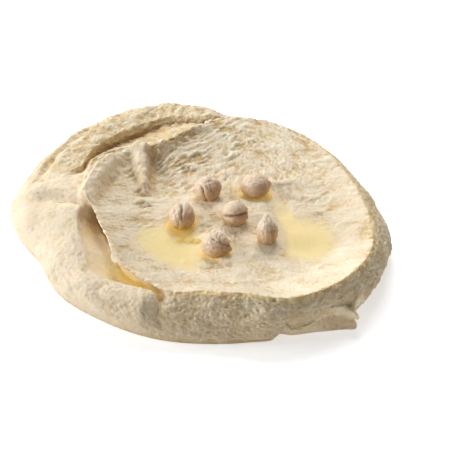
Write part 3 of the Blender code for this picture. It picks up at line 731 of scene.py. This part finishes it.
def hummus_material(looks):
    """Moist, grainy paste, yellow where oil soaks in, with warm painted shade in its creases, grooves and on
    its walls, painted highlights on its crests and a painted glow in places.
    """
    recipe = Recipe("hummus_paste")
    relief = recipe.painted("relief")
    wet = recipe.painted("wet")
    coarse = recipe.painted("coarse")
    warm = recipe.painted("warm")
    shade_and_browning = recipe.painted("shade_and_browning")
    mottle = recipe.grain(0.0032, 4.0)
    fine = recipe.grain(0.0009, 3.0)
    pebble = 1.0 - recipe.pebbles(0.0013)
    height = relief + (mottle - 0.5) * 0.4 + (fine - 0.5) * 0.35 + (pebble - 0.6) * coarse * 0.55
    # Painted shade in the creases and painted highlight on the crests, by the relief, with random tone from
    # the noise.
    colour = recipe.blend(height.between(0.10, 0.52), looks.crease_shade_colour, looks.paste_colour)
    colour = recipe.blend(height.between(0.52, 0.95), colour, looks.crest_highlight_colour)
    flecks = recipe.grain(0.0014, 1.0).between(0.79, 0.85)
    colour = recipe.blend(flecks * 0.4, colour, looks.fleck_colour)
    patches = recipe.grain(0.0075, 3.0).between(0.36, 0.66)
    # Painted shade, darker and warmer, on the walls that face away from the lamps, in patches.
    colour = recipe.blend(warm * (0.30 + patches * 0.50), colour, looks.shaded_wall_colour)
    # Painted glints: light dots on the pebbles of the shaded walls.
    painted_glints = pebble.between(0.62, 0.90) * recipe.grain(0.004, 1.0).between(0.35, 0.6) * warm
    colour = recipe.blend(painted_glints * 0.7, colour, looks.crest_highlight_colour)
    # Painted shade in the grooves, creases and recesses, and a browner tone along the tear's crest.
    colour = recipe.blend(shade_and_browning * 0.85, colour, looks.deep_colour)
    colour = recipe.blend(wet * 0.9, colour, looks.soaked_colour)
    # Golden oil at the chickpeas' feet with painted light over their shadows, and a golden line along the
    # rim's edge.
    colour = recipe.blend(recipe.painted("gold_and_glow") * 0.75, colour, looks.gold_colour)
    bumps = (recipe.grain(0.0009, 3.0, 0.55) * (0.4 + coarse * 0.4)
             + recipe.grain(0.0021, 2.0) * 0.9 + pebble * coarse * 1.0)
    normal = recipe.node("ShaderNodeBump", None,
                         {"Strength": 0.7, "Distance": looks.fine_bump * MM, "Height": bumps})
    shader = recipe.node("ShaderNodeBsdfPrincipled", None, {
        "Base Color": colour,
        "Roughness": 0.52 - wet * 0.2 + (fine - 0.5) * 0.3,
        "IOR": 1.42,
        "Subsurface Weight": looks.glow,
        "Subsurface Radius": (1.0, 0.62, 0.30),
        "Subsurface Scale": looks.glow_depth * MM,
        # Painted light: the paste glows in its own colour where the glow mark is.
        "Emission Color": recipe.blend(recipe.painted("glow"), (0.0, 0.0, 0.0), colour),
        "Emission Strength": looks.painted_glow_strength,
        "Normal": normal,
    })
    return recipe.finish(shader)


def oil_material(looks):
    """Golden oil, seen through where it is shallow and deeper in colour where it is thick, with a painted
    glow.
    """
    recipe = Recipe("golden_oil")
    depth = recipe.painted("depth")
    colour = recipe.blend(depth.between(0.3, 0.9), looks.shallow_colour, looks.deep_colour)
    ripple = recipe.grain(0.006, 2.0)
    normal = recipe.node("ShaderNodeBump", None,
                         {"Strength": 0.15, "Distance": 0.3 * MM, "Height": ripple})
    film = recipe.node("ShaderNodeBsdfPrincipled", None, {
        "Base Color": colour,
        "Roughness": 0.08,
        "IOR": 1.47,
        "Coat Weight": 0.6,
        "Coat Roughness": 0.04,
        # Painted light: the oil glows in its own colour.
        "Emission Color": colour,
        "Emission Strength": looks.oil_glow,
        "Alpha": (depth.between(0.0, 0.30) * looks.thin_cover
                  + depth.between(0.25, 0.9) * (looks.deep_cover - looks.thin_cover)),
        "Normal": normal,
    })
    return recipe.finish(film)


def chickpea_material(looks):
    """Cooked pinkish skin, with painted shade in the cleft, the wrinkles, on the far side and underneath, a
    painted highlight on top and a painted reflection of oil at the foot.
    """
    recipe = Recipe("chickpea_skin")
    groove = recipe.painted("groove")
    mottle = recipe.grain(0.0022, 4.0)
    fine = recipe.grain(0.0005, 3.0)
    # Random lighter patches, and the painted highlight on top.
    colour = recipe.blend(mottle.between(0.35, 0.70) * 0.5 + recipe.painted("top_highlight") * 0.5,
                          looks.skin_colour, looks.light_patch_and_highlight_colour)
    # Painted shade on the far side and underneath.
    colour = recipe.blend(recipe.painted("side_shade") * 0.9, colour, looks.side_shade_colour)
    # Painted reflection of the oil at the foot.
    colour = recipe.blend(recipe.painted("oil_reflection") * 0.6, colour, looks.oil_reflection_colour)
    # Painted shade in the grooves, the cleft and the wrinkles.
    colour = recipe.blend((groove + (mottle - 0.5) * 0.4).between(0.15, 1.0), colour,
                          looks.cleft_shade_colour)
    bumps = fine * 0.5 + recipe.grain(0.0011, 3.0)
    normal = recipe.node("ShaderNodeBump", None,
                         {"Strength": 0.8, "Distance": 0.25 * MM, "Height": bumps})
    shader = recipe.node("ShaderNodeBsdfPrincipled", None, {
        "Base Color": colour,
        "Roughness": 0.38 + (mottle - 0.5) * 0.3,
        "IOR": 1.42,
        "Coat Weight": 0.5,
        "Coat Roughness": 0.18,
        "Subsurface Weight": 0.3,
        "Subsurface Radius": (1.0, 0.5, 0.25),
        "Subsurface Scale": 1.2 * MM,
        "Normal": normal,
    })
    return recipe.finish(shader)


def floor_material(looks):
    """A white sheet that keeps the spread's shadow."""
    recipe = Recipe("white_sheet")
    seen = recipe.node("ShaderNodeLightPath", output=0)
    mirrored = recipe.node("ShaderNodeLightPath", output=3)
    through = recipe.node("ShaderNodeLightPath", output=6)
    fine = recipe.grain(0.05, 2.0)
    lit = recipe.node("ShaderNodeBsdfPrincipled", None, {
        "Base Color": (*looks.floor_colour, 1.0),
        "Roughness": 0.35 + (fine - 0.5) * 0.05,
        "IOR": 1.3,
    })
    straight = (seen + mirrored + through).between(0.0, 1.0)
    white = recipe.node("ShaderNodeEmission", None, {
        "Color": (1.0, 1.0, 1.0, 1.0), "Strength": looks.floor_glow})
    warm = recipe.node("ShaderNodeEmission", None, {
        "Color": (*looks.table_colour, 1.0), "Strength": looks.table_glow})
    glow = recipe.node("ShaderNodeMixShader", None, {0: straight, 1: warm, 2: white})
    return recipe.finish(recipe.node("ShaderNodeAddShader", None, {0: lit, 1: glow}))


class SpreadLooks(bpy.types.PropertyGroup):
    """Sizes and colours of the hummus."""

    spokes: IntProperty(name="Spokes", description="Points in each ring", default=640, min=64)
    dish_rings: IntProperty(name="Dish rings", description="Rings inside the rim", default=80)
    outer_rings: IntProperty(name="Outer rings", description="Rings outside the rim", default=72)
    streak_height: FloatProperty(
        name="Streaks", description="Height of the spoon's streaks, in millimetres", default=0.28)
    tear_height: FloatProperty(
        name="Tears", description="Height of the tears at the rear, in millimetres", default=0.95)
    ripple_height: FloatProperty(
        name="Ripples", description="Height of the ripples outside the rim, in millimetres",
        default=0.55)
    grain_height: FloatProperty(
        name="Grains", description="Height of the paste's grains, in millimetres", default=0.30)
    crest_height: FloatProperty(
        name="Ragged rim", description="Unevenness of the rim, in millimetres", default=0.45)
    swell_height: FloatProperty(
        name="Swell", description="Height of the broad unevenness, in millimetres", default=1.0)
    fine_bump: FloatProperty(
        name="Fine bumps", description="Depth of the finest bumps, in millimetres", default=0.48)
    glow: FloatProperty(
        name="Glow", description="Share of light that spreads inside the paste", default=0.35,
        subtype="FACTOR", min=0.0, max=1.0)
    # Strength of the paste's painted glow.
    painted_glow_strength: FloatProperty(
        name="Thin glow", description="Light that comes through thin and oily places", default=0.13)
    # Golden colour at a chickpea's foot, partly painted light over its shadow.
    gold_colour: FloatVectorProperty(
        name="Gold", description="Colour in the oil at a chickpea's foot", subtype="COLOR", size=3,
        min=0.0, max=1.0, default=(0.95, 0.70, 0.22))
    glow_depth: FloatProperty(
        name="Glow depth", description="How far light spreads, in millimetres", default=0.9)
    paste_colour: FloatVectorProperty(
        name="Paste", description="Colour of the paste", subtype="COLOR", size=3, min=0.0, max=1.0,
        default=(0.885, 0.755, 0.56))
    # Colour of the painted shade in the creases.
    crease_shade_colour: FloatVectorProperty(
        name="Creases", description="Colour in the creases", subtype="COLOR", size=3, min=0.0,
        max=1.0, default=(0.70, 0.52, 0.28))
    # Colour of the painted highlights on the crests and of the glints on the walls.
    crest_highlight_colour: FloatVectorProperty(
        name="Crests", description="Colour on the crests", subtype="COLOR", size=3, min=0.0,
        max=1.0, default=(0.98, 0.89, 0.71))
    # Colour of the painted shade on the walls at the front and the right.
    shaded_wall_colour: FloatVectorProperty(
        name="Wall", description="Colour of the wall at the front and the right", subtype="COLOR",
        size=3, min=0.0, max=1.0, default=(0.70, 0.54, 0.30))
    # The colour of the painted shade in the grooves and recesses.
    deep_colour: FloatVectorProperty(
        name="Groove", description="Colour deep in the grooves", subtype="COLOR", size=3,
        min=0.0, max=1.0, default=(0.64, 0.44, 0.22))
    fleck_colour: FloatVectorProperty(
        name="Flecks", description="Colour of the flecks of skin", subtype="COLOR", size=3,
        min=0.0, max=1.0, default=(0.48, 0.33, 0.18))
    soaked_colour: FloatVectorProperty(
        name="Soaked", description="Colour where oil has soaked in", subtype="COLOR", size=3,
        min=0.0, max=1.0, default=(1.0, 0.83, 0.47))


class OilLooks(bpy.types.PropertyGroup):
    """Sizes and colours of the oil."""

    thin_cover: FloatProperty(
        name="Thin cover", description="How much the thinnest oil hides", default=0.14,
        subtype="FACTOR", min=0.0, max=1.0)
    deep_cover: FloatProperty(
        name="Deep cover", description="How much the deepest oil hides", default=0.75,
        subtype="FACTOR", min=0.0, max=1.0)
    bead_height: FloatProperty(
        name="Bead height", description="How far a bead stands up, in millimetres", default=0.45)
    bead_depth: FloatProperty(
        name="Bead depth", description="How deep in colour a bead is", default=0.64,
        subtype="FACTOR", min=0.0, max=1.0)
    # Strength of the oil's painted glow.
    oil_glow: FloatProperty(
        name="Oil glow", description="Light that the oil passes on", default=0.10)
    shallow_colour: FloatVectorProperty(
        name="Shallow", description="Colour of shallow oil", subtype="COLOR", size=3, min=0.0,
        max=1.0, default=(1.0, 0.86, 0.42))
    deep_colour: FloatVectorProperty(
        name="Deep", description="Colour of deep oil", subtype="COLOR", size=3, min=0.0, max=1.0,
        default=(0.90, 0.60, 0.07))


class ChickpeaLooks(bpy.types.PropertyGroup):
    """Sizes and colours of the chickpeas."""

    wrinkle_height: FloatProperty(
        name="Wrinkles", description="Height of the skin's wrinkles, in millimetres", default=0.24)
    skin_colour: FloatVectorProperty(
        name="Skin", description="Colour of the skin", subtype="COLOR", size=3, min=0.0, max=1.0,
        default=(0.83, 0.61, 0.42))
    # Colour of lighter patches and of the painted highlight on top.
    light_patch_and_highlight_colour: FloatVectorProperty(
        name="Pale skin", description="Colour of the palest skin", subtype="COLOR", size=3,
        min=0.0, max=1.0, default=(0.96, 0.80, 0.63))
    # Colour of the painted shade on the far side.
    side_shade_colour: FloatVectorProperty(
        name="Brown side", description="Colour of the browner side", subtype="COLOR", size=3,
        min=0.0, max=1.0, default=(0.48, 0.27, 0.12))
    # Colour of the painted reflection of oil at the foot.
    oil_reflection_colour: FloatVectorProperty(
        name="Foot", description="Colour where the foot stands in oil", subtype="COLOR", size=3,
        min=0.0, max=1.0, default=(0.78, 0.56, 0.20))
    # Colour of the painted shade in the cleft and wrinkles.
    cleft_shade_colour: FloatVectorProperty(
        name="Cleft", description="Colour in the cleft", subtype="COLOR", size=3, min=0.0,
        max=1.0, default=(0.36, 0.19, 0.09))


class StageLooks(bpy.types.PropertyGroup):
    """The floor, the lamps and the camera."""

    floor_colour: FloatVectorProperty(
        name="Floor", description="Colour of the floor", subtype="COLOR", size=3, min=0.0,
        max=1.0, default=(0.90, 0.90, 0.90))
    floor_glow: FloatProperty(
        name="Floor glow", description="White that the floor adds to the background", default=0.48)
    table_glow: FloatProperty(
        name="Table glow", description="Light that comes up from the floor", default=0.16)
    table_colour: FloatVectorProperty(
        name="Table colour", description="Colour of the light that comes up from the floor",
        subtype="COLOR", size=3, min=0.0, max=1.0, default=(1.0, 0.86, 0.64))
    side_power: FloatProperty(
        name="Side lamp", description="Power of the large lamp at the left", unit="POWER",
        default=3.3)
    rear_power: FloatProperty(
        name="Rear lamp", description="Power of the large lamp at the rear", unit="POWER",
        default=3.3)
    sky: FloatProperty(name="Sky", description="Strength of the even light", default=0.30)
    elevation: FloatProperty(
        name="Elevation", description="How far the camera looks down", subtype="ANGLE",
        default=VIEWED_DOWN)
    distance: FloatProperty(
        name="Distance", description="From the camera to the spread", unit="LENGTH", default=0.405)
    lens: FloatProperty(name="Lens", description="Focal length in millimetres", default=90.0)


class HUMMUS_OT_make_spread(bpy.types.Operator):
    """Makes the hummus"""

    bl_idname = "hummus.make_spread"
    bl_label = "Hummus"

    def execute(self, context):
        looks = context.scene.hummus_spread
        spread = Spread(looks)
        rings = looks.dish_rings + looks.outer_rings
        grid, painted = hummus_grid(spread, looks.spokes, looks.dish_rings, looks.outer_rings)
        middle = (0.0, 0.0, spread.top_at(np.zeros(1), np.full(1, 0.01))[0])
        points = np.concatenate([grid.reshape(-1, 3), [middle]])
        points[:, :2] += spread.middle
        faces = ring_faces(rings, looks.spokes)
        tip = len(points) - 1
        faces += [(tip, i, (i + 1) % looks.spokes) for i in range(looks.spokes)]
        last = (rings - 1) * looks.spokes
        faces.append(tuple(range(last + looks.spokes - 1, last - 1, -1)))
        piece = mesh_piece("spread_of_hummus", points * MM, faces, hummus_material(looks))
        for name, values in painted.items():
            paint_points(piece, name, np.append(values.ravel(), values[0, 0]))
        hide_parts("hummus")
        return {"FINISHED"}


def pool_mesh(spread, pool, spokes=160, rings=40, reach=1.22):
    """Points, faces and depths of a pool: its flat top, and an underside just in the hummus."""
    angle = np.arange(spokes) * 360.0 / spokes
    shore = around(pool["outline"], angle) * reach
    tops, depths = [], []
    for k in range(rings + 1):
        radius = shore * k / rings
        x = pool["middle"][0] + radius * np.cos(np.radians(angle))
        y = pool["middle"][1] + radius * np.sin(np.radians(angle))
        under = spread.top_at(x, y)
        top = np.full(spokes, pool["level"])
        for name in PEAS:
            top = top + 0.35 * np.exp(-(spread.clear_of_pea(name, x, y) / 0.7) ** 2)
        tops.append(np.stack([x, y, top], axis=1))
        depths.append(top - under)
    tops, depths = np.array(tops), np.array(depths)
    lows = tops.copy()
    lows[..., 2] -= np.maximum(depths + 0.25, 0.05)
    count = (rings + 1) * spokes
    points = np.concatenate([tops.reshape(-1, 3), lows.reshape(-1, 3)])
    faces = ring_faces(rings + 1, spokes)
    faces += [tuple(count + i for i in reversed(face)) for face in faces]
    edge = rings * spokes
    for i in range(spokes):
        j = (i + 1) % spokes
        faces.append((edge + i, count + edge + i, count + edge + j, edge + j))
    return points, faces, np.concatenate([depths.ravel(), depths.ravel()])


def trough_mesh(spread, steps=120, across=22):
    """Points, faces and depths of the oil in the groove."""
    angle = np.linspace(*TROUGH_ANGLES, steps)
    tops, depths = [], []
    for k in range(across):
        radius, under = spread.outer_profile(angle, TROUGH_SHARES[0] + (
            TROUGH_SHARES[1] - TROUGH_SHARES[0]) * k / (across - 1))
        tops.append(np.stack([radius * np.cos(np.radians(angle)), radius * np.sin(np.radians(angle)),
                              np.full(steps, TROUGH_LEVEL)], axis=1))
        depths.append(TROUGH_LEVEL - under)
    tops, depths = np.array(tops), np.array(depths)
    lows = tops.copy()
    lows[..., 2] -= np.maximum(depths + 0.25, 0.05)
    count = across * steps
    points = np.concatenate([tops.reshape(-1, 3), lows.reshape(-1, 3)])
    faces = []
    for k in range(across - 1):
        for i in range(steps - 1):
            a = k * steps + i
            faces.append((a, a + steps, a + steps + 1, a + 1))
    faces += [tuple(count + i for i in reversed(face)) for face in faces]
    rim = ([i for i in range(steps)] + [k * steps + steps - 1 for k in range(1, across)]
           + [(across - 1) * steps + i for i in range(steps - 2, -1, -1)]
           + [k * steps for k in range(across - 2, 0, -1)])
    for a, b in zip(rim, rim[1:] + rim[:1]):
        faces.append((a, b, count + b, count + a))
    return points, faces, np.concatenate([depths.ravel(), depths.ravel()])


class HUMMUS_OT_make_oil(bpy.types.Operator):
    """Makes the oil in the dish and in the groove"""

    bl_idname = "hummus.make_oil"
    bl_label = "Oil"

    def execute(self, context):
        looks = context.scene.hummus_oil
        spread = Spread(context.scene.hummus_spread)
        material = oil_material(looks)
        meshes = {name: pool_mesh(spread, pool) for name, pool in POOLS.items()}
        meshes["oil_trough"] = trough_mesh(spread)
        for name, (points, faces, depths) in meshes.items():
            points[:, :2] += spread.middle
            piece = mesh_piece("pool_" + name, points * MM, faces, material)
            paint_points(piece, "depth", np.clip(depths / 2.2, 0.0, 1.0))
            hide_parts(name)
        return {"FINISHED"}


# Grooves of each chickpea, in the view from the front: across, up and towards the viewer.
# Each has its plane's normal, its offset, depth, width, and the side on which it shows.
PEA_FORMS = {
    "chickpea_rear_left": dict(
        shade=0.3,
        grooves=[((0.30, 0.28, 0.91), 0.90, 0.08, 0.05, (-0.5, 0.2, 0.9)),
                 ((0.86, 0.35, 0.35), 0.60, 0.09, 0.11, (0.5, 0.7, 0.5)),
                 ((0.90, 0.30, 0.0), -0.42, 0.16, 0.07, (-0.5, -0.9, 0.3))],
        bumps=[((0.75, 0.5, 0.2), 0.07, 0.5), ((-0.6, -0.4, 0.4), 0.05, 0.5)]),
    "chickpea_rear_right": dict(
        shade=0.55,
        grooves=[((0.15, 0.95, 0.3), -0.45, 0.03, 0.14, (0.2, -0.4, 0.9))],
        bumps=[((0.98, 0.22, 0.1), 0.11, 0.18), ((0.1, 0.9, 0.3), 0.03, 0.6)]),
    "chickpea_left": dict(
        shade=0.3,
        grooves=[((1.0, 0.10, 0.0), 0.04, 0.16, 0.13, (0.0, 0.8, 0.6)),
                 ((1.0, -0.15, 0.1), 0.46, 0.07, 0.10, (0.4, -0.2, 0.9)),
                 ((1.0, 0.25, 0.0), -0.40, 0.06, 0.10, (-0.4, 0.3, 0.9)),
                 ((1.0, -0.20, 0.0), -0.12, 0.08, 0.06, (0.0, -0.5, 0.9))],
        bumps=[((0.35, 0.9, 0.1), 0.12, 0.4), ((-0.45, 0.85, 0.1), 0.07, 0.35)]),
    "chickpea_middle": dict(
        shade=1.0,
        grooves=[((-0.16, 0.97, 0.2), 0.00, 0.24, 0.17, (0.3, 0.0, 1.0)),
                 ((-0.10, 0.90, 0.4), 0.60, 0.03, 0.14, (0.2, 0.6, 1.0))],
        bumps=[((0.96, 0.12, 0.3), -0.20, 0.17), ((0.1, 0.85, 0.5), 0.09, 0.6),
               ((-0.1, -0.6, 0.7), 0.05, 0.5)]),
    "chickpea_front": dict(
        shade=0.25,
        grooves=[((0.55, 0.75, 0.35), 0.60, 0.10, 0.06, (0.7, 0.4, 0.6)),
                 ((0.75, 0.50, 0.40), 0.78, 0.10, 0.05, (0.8, 0.2, 0.6)),
                 ((0.90, 0.10, 0.45), 0.72, 0.10, 0.06, (0.8, -0.1, 0.6)),
                 ((0.35, 0.85, 0.40), 0.30, 0.03, 0.08, (0.2, 0.4, 0.9))],
        bumps=[((0.92, -0.35, 0.2), 0.16, 0.26), ((-0.3, 0.6, 0.6), 0.04, 0.5)]),
    "chickpea_right": dict(
        shade=0.5,
        grooves=[((0.93, 0.25, -0.25), 0.13, 0.08, 0.10, (0.2, 0.1, 1.0)),
                 ((0.93, 0.15, -0.30), -0.16, 0.05, 0.08, (-0.1, -0.2, 1.0)),
                 ((0.95, 0.10, 0.10), 0.55, 0.06, 0.10, (0.8, -0.2, 0.6))],
        bumps=[((0.02, 0.98, 0.1), 0.24, 0.70), ((-0.06, 0.99, 0.1), 0.22, 0.28),
               ((0.5, -0.3, 0.6), 0.08, 0.6)]),
}
SHADED_SIDE = (0.75, -0.40, 0.25)   # the side of every chickpea that gets painted shade


def unit(way):
    """A direction in the view, turned into the frame and made one long."""
    turned = np.array(way, float) @ VIEW
    return turned / np.linalg.norm(turned)


def pea_mesh(name, wrinkle_height, segments=112, rings=72):
    """Points, faces and painted marks of one chickpea, fitted to its place in the frame: shade by its
    grooves' depths and on its far side, a highlight on top and a reflection of oil at its foot.
    """
    low, high = (np.array(corner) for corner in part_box(name))
    half = (high - low) / 2.0
    seed = 100 + 10 * PEAS.index(name)
    tilt = np.linspace(0.0, math.pi, rings)[1:-1]
    turned = np.arange(segments) * 2.0 * math.pi / segments
    ways = np.stack(np.broadcast_arrays(np.sin(tilt)[:, None] * np.cos(turned),
                                        np.sin(tilt)[:, None] * np.sin(turned),
                                        np.cos(tilt)[:, None]), axis=2).reshape(-1, 3)
    ways = np.concatenate([ways, [(0.0, 0.0, 1.0), (0.0, 0.0, -1.0)]])
    form = PEA_FORMS[name]
    swell = np.zeros(len(ways))
    groove = np.zeros(len(ways))
    bend = 0.10 * noise(ways[:, 0] * 1.6, ways[:, 1] * 1.6, ways[:, 2] * 1.6, seed)
    for normal, offset, depth, width, side in form["grooves"]:
        off = (ways @ unit(normal) - offset + bend) / width
        shown = smooth_step(-0.1, 0.6, ways @ unit(side))
        cut = np.exp(-np.abs(off) ** 1.6) * shown
        swell -= depth * cut
        groove = np.maximum(groove, cut * min(0.9, depth / 0.20))
    for place, height, width in form["bumps"]:
        away = np.arccos(np.clip(ways @ unit(place), -1.0, 1.0)) / width
        swell += height * np.exp(-away ** 2)
    wrinkle = layers_of_noise(ways[:, 0] * 3.5, ways[:, 1] * 3.5, ways[:, 2] * 3.5, seed + 3, 3)
    crinkle = -np.abs(noise(ways[:, 0] * 5.0, ways[:, 1] * 5.0, ways[:, 2] * 5.0, seed + 7))
    crinkle -= 0.7 * np.abs(noise(ways[:, 0] * 10.0, ways[:, 1] * 10.0, ways[:, 2] * 10.0, seed + 8))
    swell += 0.035 * noise(ways[:, 0] * 2.2, ways[:, 1] * 2.2, ways[:, 2] * 2.2, seed + 1)
    reach = 1.0 + swell
    reach = reach / max(1.0, np.percentile(reach, 97))
    points = (low + high) / 2.0 + ways * half * reach[:, None]
    points += ways * ((wrinkle * 0.7 + crinkle * 0.8) * wrinkle_height * MM)[:, None]
    # Painted shade in the grooves, the cleft and the wrinkles.
    groove = np.clip(groove + np.clip(-wrinkle - 0.1, 0.0, 1.0) * 0.45
                     + np.clip(0.22 + crinkle, 0.0, 1.0) * 0.7, 0.0, 1.0)
    # Painted shade: darker on the side away from the lamps, and on the lower half by each chickpea's shade.
    side_shade = smooth_step(0.0, 1.0, ways @ unit(SHADED_SIDE) + 0.25 * wrinkle)
    side_shade = np.maximum(side_shade, form["shade"] * smooth_step(0.30, -0.5, ways[:, 2]))
    # Painted highlight on the top of each chickpea.
    top_highlight = smooth_step(0.15, 0.95, ways[:, 2] + 0.3 * wrinkle)
    # Painted reflection of the golden oil on each chickpea's foot.
    oil_reflection = smooth_step(-0.15, -0.70, ways[:, 2])
    faces = ring_faces(rings - 2, segments)
    top, bottom = len(points) - 2, len(points) - 1
    last = (rings - 3) * segments
    for i in range(segments):
        j = (i + 1) % segments
        faces.append((top, i, j))
        faces.append((last + i, bottom, last + j))
    return points, faces, dict(groove=groove, side_shade=side_shade, oil_reflection=oil_reflection, top_highlight=top_highlight)


class HUMMUS_OT_make_beads(bpy.types.Operator):
    """Makes the small beads of oil by the left chickpea"""

    bl_idname = "hummus.make_beads"
    bl_label = "Beads of oil"

    def execute(self, context):
        looks = context.scene.hummus_oil
        spread = Spread(context.scene.hummus_spread)
        turned = np.arange(BEAD_SPOKES) * 2.0 * math.pi / BEAD_SPOKES
        points, faces = [], []
        for x, y, radius in BEADS:
            first = len(points)
            low = POOLS["oil_left"]["level"] - BEAD_SINK
            for share in BEAD_RINGS:
                for turn in turned:
                    points.append((x + radius * share * math.cos(turn),
                                   y + radius * share * math.sin(turn),
                                   low + looks.bead_height * math.sqrt(1.0 - share ** 2)))
            faces += ring_faces(len(BEAD_RINGS), BEAD_SPOKES, first)
            faces.append(tuple(range(first, first + BEAD_SPOKES)))
            last = first + (len(BEAD_RINGS) - 1) * BEAD_SPOKES
            faces.append(tuple(range(last + BEAD_SPOKES - 1, last - 1, -1)))
        points = np.array(points)
        points[:, :2] += spread.middle
        piece = mesh_piece("beads_of_oil", points * MM, faces, oil_material(looks))
        paint_points(piece, "depth", np.full(len(points), looks.bead_depth))
        return {"FINISHED"}


class HUMMUS_OT_make_chickpeas(bpy.types.Operator):
    """Makes the chickpeas"""

    bl_idname = "hummus.make_chickpeas"
    bl_label = "Chickpeas"

    def execute(self, context):
        looks = context.scene.hummus_chickpeas
        material = chickpea_material(looks)
        for name in PEAS:
            points, faces, painted = pea_mesh(name, looks.wrinkle_height)
            piece = mesh_piece("cooked_" + name, points, faces, material)
            for mark, values in painted.items():
                paint_points(piece, mark, values)
            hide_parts(name)
        return {"FINISHED"}


class HUMMUS_OT_make_stage(bpy.types.Operator):
    """Makes the floor, the lamps and the camera"""

    bl_idname = "hummus.make_stage"
    bl_label = "Stage"

    def execute(self, context):
        looks = context.scene.hummus_stage
        scene = context.scene
        half = SHEET_HALF
        floor_mesh = bpy.data.meshes.new("floor")
        floor_mesh.from_pydata([(-half, -half, 0.0), (half, -half, 0.0), (half, half, 0.0),
                                (-half, half, 0.0)], [], [(0, 1, 2, 3)])
        floor_mesh.materials.append(floor_material(looks))
        floor = bpy.data.objects.new("floor", floor_mesh)
        scene.collection.objects.link(floor)
        world = bpy.data.worlds.new("studio")
        world.use_nodes = True
        world.node_tree.nodes["Background"].inputs["Color"].default_value = (1.0, 1.0, 1.0, 1.0)
        world.node_tree.nodes["Background"].inputs["Strength"].default_value = looks.sky
        scene.world = world
        lamp("side_lamp", SIDE_LAMP, LAMP_SIZE, looks.side_power)
        lamp("rear_lamp", REAR_LAMP, LAMP_SIZE, looks.rear_power).visible_glossy = False
        target = Vector(LOOKED_AT) * MM
        back = Vector((0.0, -math.cos(looks.elevation), math.sin(looks.elevation)))
        camera_data = bpy.data.cameras.new("camera")
        camera_data.lens = looks.lens
        camera_data.sensor_width = 36.0
        camera = bpy.data.objects.new("camera", camera_data)
        camera.location = target + back * looks.distance
        camera.rotation_euler = (math.pi / 2.0 - looks.elevation, 0.0, 0.0)
        scene.collection.objects.link(camera)
        scene.camera = camera
        scene.view_settings.view_transform = "Standard"
        return {"FINISHED"}


def lamp(name, place, size, power):
    """A square soft lamp that faces the spread."""
    data = bpy.data.lights.new(name, "AREA")
    data.size = size
    data.energy = power
    made = bpy.data.objects.new(name, data)
    made.location = place
    made.rotation_euler = (-Vector(place)).to_track_quat("-Z", "Y").to_euler()
    bpy.context.scene.collection.objects.link(made)
    return made


class HUMMUS_PT_sidebar(bpy.types.Panel):
    """The pieces of the spread, and what can be changed on each"""

    bl_idname = "HUMMUS_PT_sidebar"
    bl_label = "Hummus spread"
    bl_space_type = "VIEW_3D"
    bl_region_type = "UI"
    bl_category = "Hummus"

    def draw(self, context):
        for operator, group in STEPS:
            self.layout.operator(operator)
            looks = getattr(context.scene, group)
            for name in looks.bl_rna.properties.keys():
                if name not in ("rna_type", "name"):
                    self.layout.prop(looks, name)


STEPS = (
    ("hummus.make_stage", "hummus_stage"),
    ("hummus.make_spread", "hummus_spread"),
    ("hummus.make_chickpeas", "hummus_chickpeas"),
    ("hummus.make_oil", "hummus_oil"),
    ("hummus.make_beads", "hummus_oil"),
)
GROUPS = {
    "hummus_spread": SpreadLooks,
    "hummus_oil": OilLooks,
    "hummus_chickpeas": ChickpeaLooks,
    "hummus_stage": StageLooks,
}
CLASSES = (
    SpreadLooks, OilLooks, ChickpeaLooks, StageLooks, HUMMUS_OT_make_spread, HUMMUS_OT_make_oil,
    HUMMUS_OT_make_beads, HUMMUS_OT_make_chickpeas, HUMMUS_OT_make_stage, HUMMUS_PT_sidebar)


def register():
    for item in CLASSES:
        bpy.utils.register_class(item)
    for name, group in GROUPS.items():
        setattr(bpy.types.Scene, name, PointerProperty(type=group))


def unregister():
    for name in GROUPS:
        delattr(bpy.types.Scene, name)
    for item in reversed(CLASSES):
        bpy.utils.unregister_class(item)


def main():
    register()
    for operator, _ in STEPS:
        group, name = operator.split(".")
        getattr(getattr(bpy.ops, group), name)()


if __name__ == "__main__":
    main()
